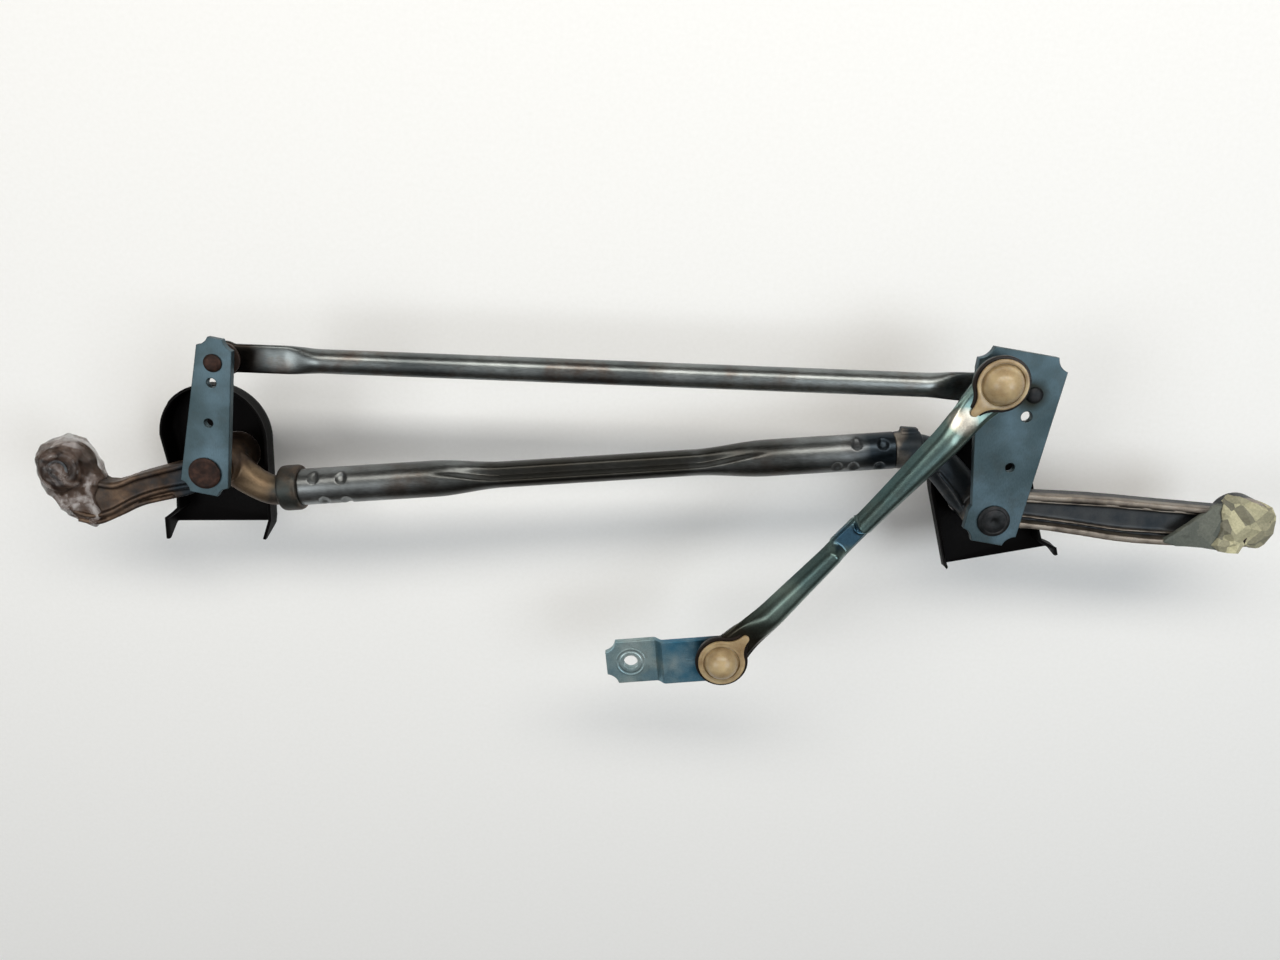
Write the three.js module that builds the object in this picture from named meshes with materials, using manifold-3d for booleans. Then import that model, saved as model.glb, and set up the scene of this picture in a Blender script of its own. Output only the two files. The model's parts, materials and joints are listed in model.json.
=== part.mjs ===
// Windshield wiper linkage of a car: a tubular frame with a cast pivot housing at each end, two
// pivot shafts with levers, the rod that couples them, and the drive link and crank to the motor.
//
// Millimetres. The drawing frame has X from the left pivot to the right pivot, Z along the pivot
// shafts with the levers on top, and Z = 0 at the axis of the frame tube. The finished group is
// moved so that the origin lies on the bolt axis of the left mounting eye.

import * as THREE from 'three';
import { mergeVertices } from 'three/addons/utils/BufferGeometryUtils.js';
import Module from 'manifold-3d';

const wasm = await Module();
wasm.setup();

// ---------------------------------------------------------------- driving dimensions

const GAP = 0.3; // between pieces that touch or fit together

// linkage
const PIVOT_SPACING = 454;
const LEVER_ANGLE = 82; // of the line from each pivot to its rod ball
const LEFT_ARM = 65; // left pivot to rod ball
const RIGHT_ARM = 75; // right pivot to rod ball
const DRIVE_ARM = 82; // right pivot to drive ball
const DRIVE_ARM_ANGLE = 98.5;
const LINK_LENGTH = 223; // ball to ball
const LINK_ANGLE = 232;
const CRANK_THROW = 55; // ball to motor shaft
const CRANK_ANGLE = 192.7;

// levels along Z
const PLATE = 4.5; // thickness of levers and crank
const LEVER_TOP = 26;
const LEVER_BOTTOM = LEVER_TOP - PLATE;
const ROD_LEVEL = 8; // centres of the rod's balls
const DRIVE_LEVEL = 36.5; // centres of the drive link's balls
const BARREL_TOP = 14;
const BARREL_BOTTOM = -35;

// pivots
const SHAFT_R = 6;
const SHAFT_HEAD_R = 9.2;
const SHAFT_TIP = -66;
const BUSH_R = 8.2;
const BARREL_R = 12.5;

// frame tube
const TUBE_R = 11;
const TUBE_WALL = 2;
const TUBE_START = new THREE.Vector3(47, -13.5, 0);
const TUBE_END = new THREE.Vector3(397.5, 31.6, 0);
const SPIGOT_R = TUBE_R - TUBE_WALL - GAP;
const SPIGOT_LENGTH = 40;

// mounting eyes
const LEFT_EYE = new THREE.Vector2(-96, -9);
const LEFT_EYE_R = 13.2;
const RIGHT_EYE = new THREE.Vector2(611, 1.4);
const RIGHT_EYE_R = 14.5;
const EYE_TOP = 8;
const EYE_BOTTOM = -10;
const SLEEVE_R = 6.2;
const SLEEVE_BORE_R = 4.3;
const SLEEVE_OVERHANG = 2; // of the sleeve beyond each face of the eye

// balls, sockets and the sheet metal that holds them
const ROD_R = 7;
const ROD_WALL = 1.5;
const ROD_BALL_R = 5.5;
const ROD_SOCKET_R = 7.1;
const ROD_PAD_R = 9.8;
const ROD_PAD_HALF = 2.5; // half the thickness of the flattened rod end
const DRIVE_BALL_R = 8;
const DRIVE_SOCKET_R = 11.3;
const DRIVE_FLANGE_R = 13.9;
const LINK_PAD_R = 15.2;
const LINK_PAD_TOP = 36.5;
const LINK_SHEET = 2;

// rain shields
const SHIELD_FLOOR = -24;
const SHIELD_RIM = -9.6;
const SHIELD_WALL = 1.8;
const EAR_SLOPE = 3.5;
const LEFT_SHIELD = { wall: 21.5, radius: 32.5, bottom: -46, ear: 9 };
const RIGHT_SHIELD = { wall: 23.5, radius: 30, bottom: -43, ear: 4 };
const RIGHT_SHIELD_TURN = 18;

// ---------------------------------------------------------------- finishes

const FINISH = {
  zinc: { color: 0x6f8a90, roughness: 0.42, metalness: 0.85 },
  steelTube: { color: 0x7b7a78, roughness: 0.35, metalness: 0.9 },
  castAluminium: { color: 0x8d7f74, roughness: 0.55, metalness: 0.8 },
  shaftSteel: { color: 0x5d4a42, roughness: 0.5, metalness: 0.8 },
  springSteel: { color: 0x4a4b4d, roughness: 0.45, metalness: 0.85 },
  bronze: { color: 0x9a7a4a, roughness: 0.5, metalness: 0.8 },
  nylon: { color: 0xe0d6bd, roughness: 0.45, metalness: 0 },
  darkNylon: { color: 0x2f211c, roughness: 0.5, metalness: 0 },
  shieldPlastic: { color: 0x141113, roughness: 0.45, metalness: 0 },
  rubber: { color: 0x241d19, roughness: 0.85, metalness: 0 },
  film: { color: 0xb0a090, roughness: 0.15, metalness: 0 },
  tape: { color: 0xb9b7a2, roughness: 0.6, metalness: 0 },
};

// ---------------------------------------------------------------- solid helpers

const rad = THREE.MathUtils.degToRad;

function polar(radius, degrees) {
  return new THREE.Vector2(radius * Math.cos(rad(degrees)), radius * Math.sin(rad(degrees)));
}

// The same surface with shared vertices, no empty triangles and its faces pointing out.
function welded(geometry) {
  const bare = geometry.clone();
  bare.deleteAttribute('normal');
  bare.deleteAttribute('uv');
  const merged = mergeVertices(bare, 1e-4);
  const position = merged.getAttribute('position');
  const index = merged.getIndex().array;
  const corner = [0, 1, 2].map(() => new THREE.Vector3());
  const kept = [];
  let volume = 0;
  for (let i = 0; i < index.length; i += 3) {
    const [a, b, c] = index.slice(i, i + 3);
    if (a === b || b === c || c === a) continue;
    kept.push([a, b, c]);
    [a, b, c].forEach((vertex, k) => corner[k].fromBufferAttribute(position, vertex));
    volume += corner[0].dot(corner[1].clone().cross(corner[2]));
  }
  merged.setIndex(kept.flatMap(([a, b, c]) => (volume < 0 ? [a, c, b] : [a, b, c])));
  return merged;
}

function toSolid(geometry) {
  const mesh = welded(geometry);
  const vertProperties = new Float32Array(mesh.getAttribute('position').array);
  const triVerts = new Uint32Array(mesh.getIndex().array);
  return new wasm.Manifold(new wasm.Mesh({ numProp: 3, vertProperties, triVerts }));
}

function toGeometry(solid) {
  const { vertProperties, triVerts } = solid.getMesh();
  const geometry = new THREE.BufferGeometry();
  geometry.setAttribute('position', new THREE.BufferAttribute(new Float32Array(vertProperties), 3));
  geometry.setIndex(new THREE.BufferAttribute(new Uint32Array(triVerts), 1));
  return geometry;
}

function join(...geometries) {
  return toGeometry(geometries.map(toSolid).reduce((sum, next) => sum.add(next)));
}

function cut(base, ...tools) {
  return toGeometry(tools.map(toSolid).reduce((rest, tool) => rest.subtract(tool), toSolid(base)));
}

function intersect(first, second) {
  return toGeometry(toSolid(first).intersect(toSolid(second)));
}

// A flat shape given a height from z0 to z1.
function slab(shape, z0, z1, curveSegments = 6) {
  const geometry = new THREE.ExtrudeGeometry(shape, { depth: z1 - z0, bevelEnabled: false, curveSegments });
  return geometry.translate(0, 0, z0);
}

// An upright cylinder between two levels.
function post(radius, z0, z1, x = 0, y = 0, sides = 20) {
  const geometry = new THREE.CylinderGeometry(radius, radius, z1 - z0, sides);
  return geometry.rotateX(Math.PI / 2).translate(x, y, (z0 + z1) / 2);
}

// A turned piece from [radius, z] points that start and end on the axis.
function turned(profile, sides = 16) {
  const points = profile.map(([radius, z]) => new THREE.Vector2(radius, z));
  return new THREE.LatheGeometry(points, sides).rotateX(Math.PI / 2);
}

// A turned ring from [radius, z] points that close on themselves.
function turnedRing(profile, sides = 16) {
  return turned([...profile, profile[0]], sides);
}

// Points of a circular arc in a turned profile, angles measured up from the +radius direction.
function arcProfile(radius, z, fromDegrees, toDegrees, steps) {
  return Array.from({ length: steps + 1 }, (_, i) => {
    const angle = fromDegrees + ((toDegrees - fromDegrees) * i) / steps;
    const { x, y } = polar(radius, angle);
    return [Math.max(x, 0), z + y];
  });
}

// Places along a bar where its section is drawn, as parts of its length: both ends, and close
// together through each [from, to] stretch where the section changes.
function stations(length, ...stretches) {
  const steps = 5;
  const inside = stretches.flatMap(([from, to]) => (
    Array.from({ length: steps + 1 }, (_, i) => (from + ((to - from) * i) / steps) / length)
  ));
  return [0, ...inside, 1];
}

// A bar along a level curve, drawn at the given stations. section(angle, t) gives the half
// sizes [across, up] of its outline.
function sweep(path, section, places, sides) {
  const steps = places.length - 1;
  const geometry = new THREE.CylinderGeometry(1, 1, 1, sides, steps);
  const position = geometry.getAttribute('position');
  for (let i = 0; i < position.count; i++) {
    const t = places[Math.round((position.getY(i) + 0.5) * steps)];
    const x = position.getX(i);
    const z = position.getZ(i);
    const radius = Math.hypot(x, z);
    const centre = path.getPoint(t);
    const tangent = path.getTangent(t);
    const [across, up] = section(Math.atan2(z, x), t).map((half) => half * radius);
    position.setXYZ(i, centre.x - tangent.y * across, centre.y + tangent.x * across, centre.z + up);
  }
  return geometry;
}

function evenly(steps) {
  return Array.from({ length: steps + 1 }, (_, i) => i / steps);
}

// Half sizes of an oval section, for sweep().
const oval = (across, up) => (angle) => [across * Math.cos(angle), up * Math.sin(angle)];

function curveThrough(...points) {
  return new THREE.CatmullRomCurve3(points.map(([x, y, z = 0]) => new THREE.Vector3(x, y, z)));
}

// A plate outline from [x, y, bite] corners, with a round bite of that radius out of each corner.
function bittenOutline(corners) {
  const shape = new THREE.Shape();
  corners.forEach(([x, y, bite], i) => {
    const before = corners.at(i - 1);
    const after = corners[(i + 1) % corners.length];
    const fromAngle = Math.atan2(before[1] - y, before[0] - x);
    const toAngle = Math.atan2(after[1] - y, after[0] - x);
    const start = [x + bite * Math.cos(fromAngle), y + bite * Math.sin(fromAngle)];
    if (i === 0) shape.moveTo(...start);
    else shape.lineTo(...start);
    if (bite > 0) shape.absarc(x, y, bite, fromAngle, toAngle, true);
  });
  return shape;
}

function ringShape(outer, inner) {
  const shape = new THREE.Shape().absarc(0, 0, outer, 0, 2 * Math.PI);
  shape.holes.push(new THREE.Path().absarc(0, 0, inner, 0, 2 * Math.PI, true));
  return shape;
}

function piece(name, geometry, finish) {
  const mesh = new THREE.Mesh(welded(geometry), new THREE.MeshStandardMaterial(FINISH[finish]));
  mesh.name = name;
  return mesh;
}

function groupAt(x, y, degrees, ...children) {
  const group = new THREE.Group();
  group.position.set(x, y, 0);
  group.rotation.z = rad(degrees);
  group.add(...children);
  return group;
}

// ---------------------------------------------------------------- frame tube

const TUBE_LENGTH = TUBE_START.distanceTo(TUBE_END);
const TUBE_ANGLE = THREE.MathUtils.radToDeg(Math.atan2(TUBE_END.y - TUBE_START.y, TUBE_END.x - TUBE_START.x));

const PRESS_IN = [82, 120]; // where the tube changes from round to pressed
const PRESS_OUT = [238, 278];

// 0 in the round ends of the tube, 1 in its pressed middle.
function pressed(t) {
  const alongTube = t * TUBE_LENGTH;
  const into = THREE.MathUtils.smoothstep(alongTube, ...PRESS_IN);
  const outOf = THREE.MathUtils.smoothstep(alongTube, ...PRESS_OUT);
  return into - outOf;
}

function frameTube() {
  const creaseDepth = 5;
  const pressedHalfWidth = 7.6;
  const wall = (inset) => (angle, t) => {
    const press = pressed(t);
    const crease = creaseDepth * press * Math.max(0, Math.sin(angle)) ** 6;
    const across = THREE.MathUtils.lerp(TUBE_R, pressedHalfWidth, press) - inset;
    return [across * Math.cos(angle), (TUBE_R - inset) * Math.sin(angle) - crease];
  };
  const path = new THREE.LineCurve3(TUBE_START, TUBE_END);
  const along = TUBE_END.clone().sub(TUBE_START).normalize();
  const borePath = new THREE.LineCurve3(TUBE_START.clone().sub(along), TUBE_END.clone().add(along));
  const places = stations(TUBE_LENGTH, PRESS_IN, PRESS_OUT);
  return cut(sweep(path, wall(0), places, 14), sweep(borePath, wall(TUBE_WALL), places, 14));
}

// ---------------------------------------------------------------- pivot housings

function barrel() {
  return post(BARREL_R, BARREL_BOTTOM, BARREL_TOP);
}

function barrelBore() {
  return post(BUSH_R + GAP, BARREL_BOTTOM - 1, BARREL_TOP + 1);
}

// The plain end of a housing that plugs into the tube, along +X from the origin.
function spigot(length) {
  const geometry = new THREE.CylinderGeometry(SPIGOT_R, SPIGOT_R, length, 16);
  return geometry.rotateZ(Math.PI / 2).translate(length / 2, 0, 0);
}

function leftHousing() {
  const tubeTurn = rad(TUBE_ANGLE);
  const plug = spigot(SPIGOT_LENGTH + 14).translate(-14, 0, 0).rotateZ(tubeTurn).translate(...TUBE_START);
  const collarProfile = [[0, -14], [12, -14], [13.4, -11], [13.6, -2], [12.6, -GAP], [0, -GAP]];
  const collar = turned(collarProfile).rotateY(Math.PI / 2).rotateZ(tubeTurn).translate(...TUBE_START);
  const neckPath = curveThrough([-2, 1], [10, -7], [22, -14], [38, -15]);
  const neck = sweep(neckPath, (angle, t) => oval(12 - 2.4 * Math.min(1, 2 * t), 9)(angle), evenly(6), 12);
  const arm = new THREE.Shape();
  arm.moveTo(-4, 10);
  arm.splineThru([[-20, 0], [-36, -5.5], [-52, -11], [-66, -16.5], [-75, -16], [-82, -9]].map(toVector));
  arm.lineTo(-96, -9);
  arm.lineTo(-108, -12);
  arm.splineThru([[-104, -25], [-97, -34.5], [-88.5, -42.5], [-78, -43.8], [-64, -37.5], [-50, -30.2]].map(toVector));
  arm.splineThru([[-38, -26], [-22, -22], [-4, -12]].map(toVector));
  const casting = join(
    barrel(),
    slab(arm, -6, 5, 3),
    post(LEFT_EYE_R, EYE_BOTTOM, EYE_TOP, LEFT_EYE.x, LEFT_EYE.y),
    neck,
    collar,
    plug,
  );
  return cut(casting, barrelBore(), eyeBore(LEFT_EYE, LEFT_EYE_R));
}

function rightHousing() {
  const tubeTurn = rad(TUBE_ANGLE);
  const plug = spigot(SPIGOT_LENGTH + 14).translate(-SPIGOT_LENGTH, 0, 0);
  plug.rotateZ(tubeTurn).translate(...TUBE_END);
  const shoulder = turned([[0, GAP], [10.4, GAP], [10.8, 3], [10.4, 16], [0, 18]]);
  shoulder.rotateY(Math.PI / 2).rotateZ(tubeTurn).translate(...TUBE_END);
  const neckPath = curveThrough([402, 32.2], [416, 31.5], [430, 22], [443, 9], [456, -1]);
  const neck = sweep(neckPath, (angle, t) => oval(9.6 + 2 * t, 8.5)(angle), evenly(7), 12);
  const tab = new THREE.BoxGeometry(8, 8, 6).translate(404, 42, 0);
  const arm = new THREE.Shape();
  arm.moveTo(455, 11);
  arm.splineThru([[482, 11.2], [522, 11.4], [560, 10.2], [600, 9]].map(toVector));
  arm.lineTo(600, -12.5);
  arm.splineThru([[580, -14.6], [560, -15.2], [537, -14.6], [510, -12], [482, -10], [455, -12]].map(toVector));
  const pocket = new THREE.Shape();
  pocket.moveTo(474, 7);
  pocket.splineThru([[522, 7.2], [560, 6.2], [591, 5.4]].map(toVector));
  pocket.lineTo(591, -10.6);
  pocket.splineThru([[560, -10.8], [537, -10], [510, -7.4], [474, -5.2]].map(toVector));
  const casting = join(
    barrel().translate(PIVOT_SPACING, 0, 0),
    cut(slab(arm, -7, 7, 4), slab(pocket, 0, 8, 4), slab(pocket, -8, -3, 4)),
    post(RIGHT_EYE_R, EYE_BOTTOM, EYE_TOP, RIGHT_EYE.x, RIGHT_EYE.y),
    neck,
    shoulder,
    plug,
    tab,
  );
  return cut(casting, barrelBore().translate(PIVOT_SPACING, 0, 0), eyeBore(RIGHT_EYE, RIGHT_EYE_R));
}

function toVector([x, y]) {
  return new THREE.Vector2(x, y);
}

// ---------------------------------------------------------------- mounting eyes

const EYE_WALL = 4;

function eyeBore(centre, eyeRadius) {
  return post(eyeRadius - EYE_WALL, EYE_BOTTOM - 1, EYE_TOP + 1, centre.x, centre.y);
}

function eyeGrommet(eyeRadius) {
  const waist = eyeRadius - EYE_WALL - GAP;
  const lip = waist + 2.2;
  const inner = SLEEVE_R + GAP;
  return turnedRing([
    [inner, EYE_BOTTOM - 1.6], [lip, EYE_BOTTOM - 1.6], [lip, EYE_BOTTOM - GAP], [waist, EYE_BOTTOM - GAP],
    [waist, EYE_TOP + GAP], [lip, EYE_TOP + GAP], [lip, EYE_TOP + 1.6], [inner, EYE_TOP + 1.6],
  ]);
}

function eyeSleeve() {
  return slab(ringShape(SLEEVE_R, SLEEVE_BORE_R), EYE_BOTTOM - SLEEVE_OVERHANG, EYE_TOP + SLEEVE_OVERHANG);
}

function mountingEye(side, centre, eyeRadius) {
  return groupAt(
    centre.x, centre.y, 0,
    piece(`${side}_eye_grommet`, eyeGrommet(eyeRadius), 'rubber'),
    piece(`${side}_eye_sleeve`, eyeSleeve(), 'springSteel'),
  );
}

// ---------------------------------------------------------------- packing wraps

const WRAP_WALL = 1.3;
const WRAP_BOTTOM = -6;
const WRAP_EYE_TOP = EYE_TOP + SLEEVE_OVERHANG + 0.5;

function disc(centre, radius) {
  return new THREE.Shape().absarc(centre.x, centre.y, radius, 0, 2 * Math.PI);
}

// A cap over an eye and the end of its arm: a solid of two levels, hollowed where they go in.
function wrapCap(eye, eyeRadius, outline, hollow, armTop) {
  const room = eyeRadius + 0.8;
  return cut(
    join(
      slab(outline, WRAP_BOTTOM, armTop + WRAP_WALL, 3),
      slab(disc(eye, room + WRAP_WALL), WRAP_BOTTOM, WRAP_EYE_TOP + WRAP_WALL),
    ),
    slab(hollow, WRAP_BOTTOM - 1, armTop, 3),
    slab(disc(eye, room), WRAP_BOTTOM - 1, WRAP_EYE_TOP),
  );
}

function leftFilm() {
  const outline = new THREE.Shape();
  outline.moveTo(-63, -13);
  outline.splineThru([[-70, -8], [-78, 2], [-86, 8.5], [-97, 10], [-107, 5.5], [-112, -2.5], [-112, -14]].map(toVector));
  outline.splineThru([[-107.5, -27.5], [-99, -37], [-89.5, -45.2], [-78, -46.6], [-63, -39.8]].map(toVector));
  const hollow = new THREE.Shape();
  hollow.moveTo(-58, -12.5);
  hollow.lineTo(-66, -15.2);
  hollow.lineTo(-74, -14.6);
  hollow.lineTo(-78, -9);
  hollow.lineTo(-109, -9);
  hollow.splineThru([[-105.2, -25.6], [-97.8, -35.3], [-88.9, -43.4], [-78, -44.8], [-64, -38.4], [-58, -35.2]].map(toVector));
  return wrapCap(LEFT_EYE, LEFT_EYE_R, outline, hollow, 5.6);
}

function rightTape() {
  const outline = new THREE.Shape();
  outline.moveTo(563, -17.4);
  outline.lineTo(585, 13);
  outline.splineThru([[596, 17.5], [611, 18.5], [622, 13], [627.5, 3], [624, -9], [614, -15.5]].map(toVector));
  outline.splineThru([[600, -17], [580, -17.5], [563, -17.4]].map(toVector));
  const hollow = new THREE.Shape();
  hollow.moveTo(550, 11.6);
  hollow.lineTo(600, 11.6);
  hollow.lineTo(600, -15.4);
  hollow.lineTo(580, -15.9);
  hollow.lineTo(550, -15.9);
  return wrapCap(RIGHT_EYE, RIGHT_EYE_R, outline, hollow, 7.5);
}

// ---------------------------------------------------------------- rain shields

// A D of thin plastic with a skirt towards the levers, open at the straight bottom, where the
// skirt ends in two pointed ears. The barrel passes through its floor. The straight wall stands
// at x = wall, the round top has the given radius, and the far wall flares out into its ear.
function rainShield({ wall, radius, bottom, ear }) {
  const centre = new THREE.Vector2(wall - radius, 11);
  const outline = (inset, end) => {
    const shape = new THREE.Shape();
    shape.moveTo(wall - inset, end);
    shape.lineTo(wall - inset, centre.y);
    shape.absarc(centre.x, centre.y, radius - inset, 0, Math.PI);
    shape.lineTo(inset - 35.4, -27);
    shape.lineTo(inset - 36.4, -36);
    shape.lineTo(inset - 43, -43);
    shape.lineTo(inset - 43, end);
    return shape;
  };
  return cut(
    slab(outline(0, bottom - ear), SHIELD_FLOOR, SHIELD_RIM, 8),
    slab(outline(SHIELD_WALL, bottom - ear - 20), SHIELD_FLOOR + SHIELD_WALL, SHIELD_RIM + 1, 8),
    earTrim(bottom, ear),
    post(BARREL_R + GAP, SHIELD_FLOOR - 1, SHIELD_RIM),
  );
}

// What is cut away below the shield's straight edge to leave the two ears, which slope slightly
// across the shield.
function earTrim(bottom, ear) {
  const tip = bottom - ear + 1;
  const profile = new THREE.Shape();
  profile.moveTo(bottom - 30, SHIELD_FLOOR - 1);
  profile.lineTo(bottom, SHIELD_FLOOR - 1);
  profile.lineTo(bottom, SHIELD_FLOOR + SHIELD_WALL + 1);
  profile.lineTo(tip, SHIELD_RIM - 5);
  profile.lineTo(tip, SHIELD_RIM - 3);
  profile.lineTo(bottom + 4, SHIELD_RIM + 1);
  profile.lineTo(bottom - 30, SHIELD_RIM + 1);
  const block = new THREE.ExtrudeGeometry(profile, { depth: 90, bevelEnabled: false });
  // the profile is drawn in Y and Z and runs along X
  const standing = new THREE.Matrix4().set(0, 0, 1, -55, 1, 0, 0, 0, 0, 1, 0, 0, 0, 0, 0, 1);
  return block.applyMatrix4(standing).rotateZ(rad(EAR_SLOPE));
}

// ---------------------------------------------------------------- pivots

const COLLAR_BOTTOM = LEVER_BOTTOM - GAP - 3.6;
const CIRCLIP_Z = [-39.8, -38.7];
const CONE_TOP = -45; // of the cone that holds the wiper arm
const CONE_BOTTOM = -55;

function pivotShaft() {
  const grooveR = SHAFT_R - 0.8;
  return turned([
    [0, SHAFT_TIP], [3.4, SHAFT_TIP], [4, SHAFT_TIP + 1], [4, CONE_BOTTOM - 0.4], [4.7, CONE_BOTTOM], [SHAFT_R, CONE_TOP],
    [SHAFT_R, CIRCLIP_Z[0] - GAP], [grooveR, CIRCLIP_Z[0] - GAP], [grooveR, CIRCLIP_Z[1] + GAP],
    [SHAFT_R, CIRCLIP_Z[1] + GAP], [SHAFT_R, COLLAR_BOTTOM], [9.4, COLLAR_BOTTOM],
    [9.4, LEVER_BOTTOM - GAP], [SHAFT_R, LEVER_BOTTOM - GAP], [SHAFT_R, LEVER_TOP + GAP],
    [SHAFT_HEAD_R, LEVER_TOP + GAP], [SHAFT_HEAD_R, LEVER_TOP + 1.2], [SHAFT_HEAD_R - 0.8, LEVER_TOP + 1.8],
    [0, LEVER_TOP + 1.8],
  ]);
}

function flangedBush(z0, z1, flangeZ0, flangeZ1) {
  const inner = SHAFT_R + GAP;
  return join(
    turnedRing([[inner, z0], [BUSH_R, z0], [BUSH_R, z1], [inner, z1]]),
    turnedRing([[inner, flangeZ0], [10.6, flangeZ0], [10.6, flangeZ1], [inner, flangeZ1]]),
  );
}

function washer(outer, z0, z1) {
  return slab(ringShape(outer, SHAFT_R + GAP), z0, z1);
}

function circlip() {
  const [z0, z1] = CIRCLIP_Z;
  const opening = 35;
  const shape = new THREE.Shape();
  shape.absarc(0, 0, 8.8, rad(opening), rad(360 - opening));
  shape.absarc(0, 0, 5.5, rad(360 - opening), rad(opening), true);
  return slab(shape, z0, z1, 10);
}

function pivotBushes(side, x) {
  const upper = flangedBush(0, BARREL_TOP + GAP, BARREL_TOP + GAP, BARREL_TOP + 1.5);
  const lower = flangedBush(BARREL_BOTTOM - GAP, -26, BARREL_BOTTOM - 1.5, BARREL_BOTTOM - GAP);
  return groupAt(
    x, 0, 0,
    piece(`${side}_upper_bush`, upper, 'bronze'),
    piece(`${side}_lower_bush`, lower, 'bronze'),
  );
}

function pivotHardware(side) {
  return [
    piece(`${side}_pivot_shaft`, pivotShaft(), 'shaftSteel'),
    piece(`${side}_thrust_washer`, washer(10.4, BARREL_TOP + 1.8, COLLAR_BOTTOM - GAP), 'darkNylon'),
    piece(`${side}_spring_washer`, washer(9.6, CIRCLIP_Z[1] + GAP, BARREL_BOTTOM - 1.8), 'springSteel'),
    piece(`${side}_circlip`, circlip(), 'springSteel'),
  ];
}

// ---------------------------------------------------------------- levers

const TENON_R = 3.2; // riveted end of a rod ball stud
const DRIVE_TENON_R = 4;

function leverPlate(corners, holes) {
  const shape = bittenOutline(corners);
  for (const [x, y, radius] of holes) {
    shape.holes.push(new THREE.Path().absarc(x, y, radius, 0, 2 * Math.PI, true));
  }
  return slab(shape, LEVER_BOTTOM, LEVER_TOP, 6);
}

function leftLeverPlate() {
  const corners = [[-13, -14, 6], [79, -9.6, 5.5], [79, 9.6, 5.5], [-13, 14, 6]];
  const holes = [[0, 0, SHAFT_R + GAP], [LEFT_ARM, 0, TENON_R + GAP], [53.5, 0, 2.7], [30, 0, 2.5]];
  return leverPlate(corners, holes);
}

const RIGHT_PLATE_ANGLE = 83.5; // of the right plate's straight edge

function rightLeverPlate() {
  const corners = [
    [-14, -15.5, 6.5], [97.3, -16.5, 7], [97.3, 34, 7.5], [84, 33.2, 0], [7, 14.4, 0], [4, 15.5, 0],
    [-14, 15.5, 6.5],
  ];
  const rodBall = polar(RIGHT_ARM, LEVER_ANGLE - RIGHT_PLATE_ANGLE);
  const driveBall = polar(DRIVE_ARM, DRIVE_ARM_ANGLE - RIGHT_PLATE_ANGLE);
  const holes = [
    [0, 0, SHAFT_R + GAP],
    [rodBall.x, rodBall.y, TENON_R + GAP],
    [driveBall.x, driveBall.y, DRIVE_TENON_R + GAP],
    [62.3, -1.2, 3],
    [32.3, -0.5, 2.6],
  ];
  return leverPlate(corners, holes);
}

// ---------------------------------------------------------------- ball studs

// The ball and neck under a lever.
function rodBallProfile(neckTop) {
  const ball = arcProfile(ROD_BALL_R, ROD_LEVEL, -90, 52, 6);
  return [...ball, [3.4, neckTop - 3], [5.4, neckTop - 2.4], [5.4, neckTop]];
}

function looseRodBallStud() {
  const top = LEVER_BOTTOM - GAP;
  return turned([...rodBallProfile(top), [0, top]]);
}

function rivetHeadProfile(headRadius) {
  const seat = LEVER_TOP + GAP;
  return [[headRadius, seat], [headRadius, seat + 0.5], [headRadius - 1.2, seat + 1.4], [0, seat + 1.6]];
}

function rivetedRodBallStud() {
  const top = LEVER_BOTTOM - GAP;
  return turned([
    ...rodBallProfile(top), [TENON_R, top], [TENON_R, LEVER_TOP + GAP], ...rivetHeadProfile(4.3),
  ]);
}

function rodRivet() {
  return turned([[0, LEVER_BOTTOM], [TENON_R, LEVER_BOTTOM], [TENON_R, LEVER_TOP + GAP], ...rivetHeadProfile(4.7)]);
}

// The larger ball on top of the drive lever and of the crank, riveted over underneath.
function driveBallStud() {
  const headTop = LEVER_BOTTOM - GAP;
  return turned([
    [0, headTop - 1.5], [5, headTop - 1.5], [6.4, headTop - 0.6], [6.4, headTop], [DRIVE_TENON_R, headTop],
    [DRIVE_TENON_R, LEVER_TOP + GAP], [6.8, LEVER_TOP + GAP], [6.8, LEVER_TOP + 1.6], [4.6, LEVER_TOP + 2.4],
    ...arcProfile(DRIVE_BALL_R, DRIVE_LEVEL, -55, 90, 7),
  ]);
}

// ---------------------------------------------------------------- connecting rod

const leftRodBall = polar(LEFT_ARM, LEVER_ANGLE);
const rightRodBall = polar(RIGHT_ARM, LEVER_ANGLE).add(new THREE.Vector2(PIVOT_SPACING, 0));
const rodVector = leftRodBall.clone().sub(rightRodBall);
const ROD_LENGTH = rodVector.length();
const ROD_ANGLE = THREE.MathUtils.radToDeg(rodVector.angle());

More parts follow.
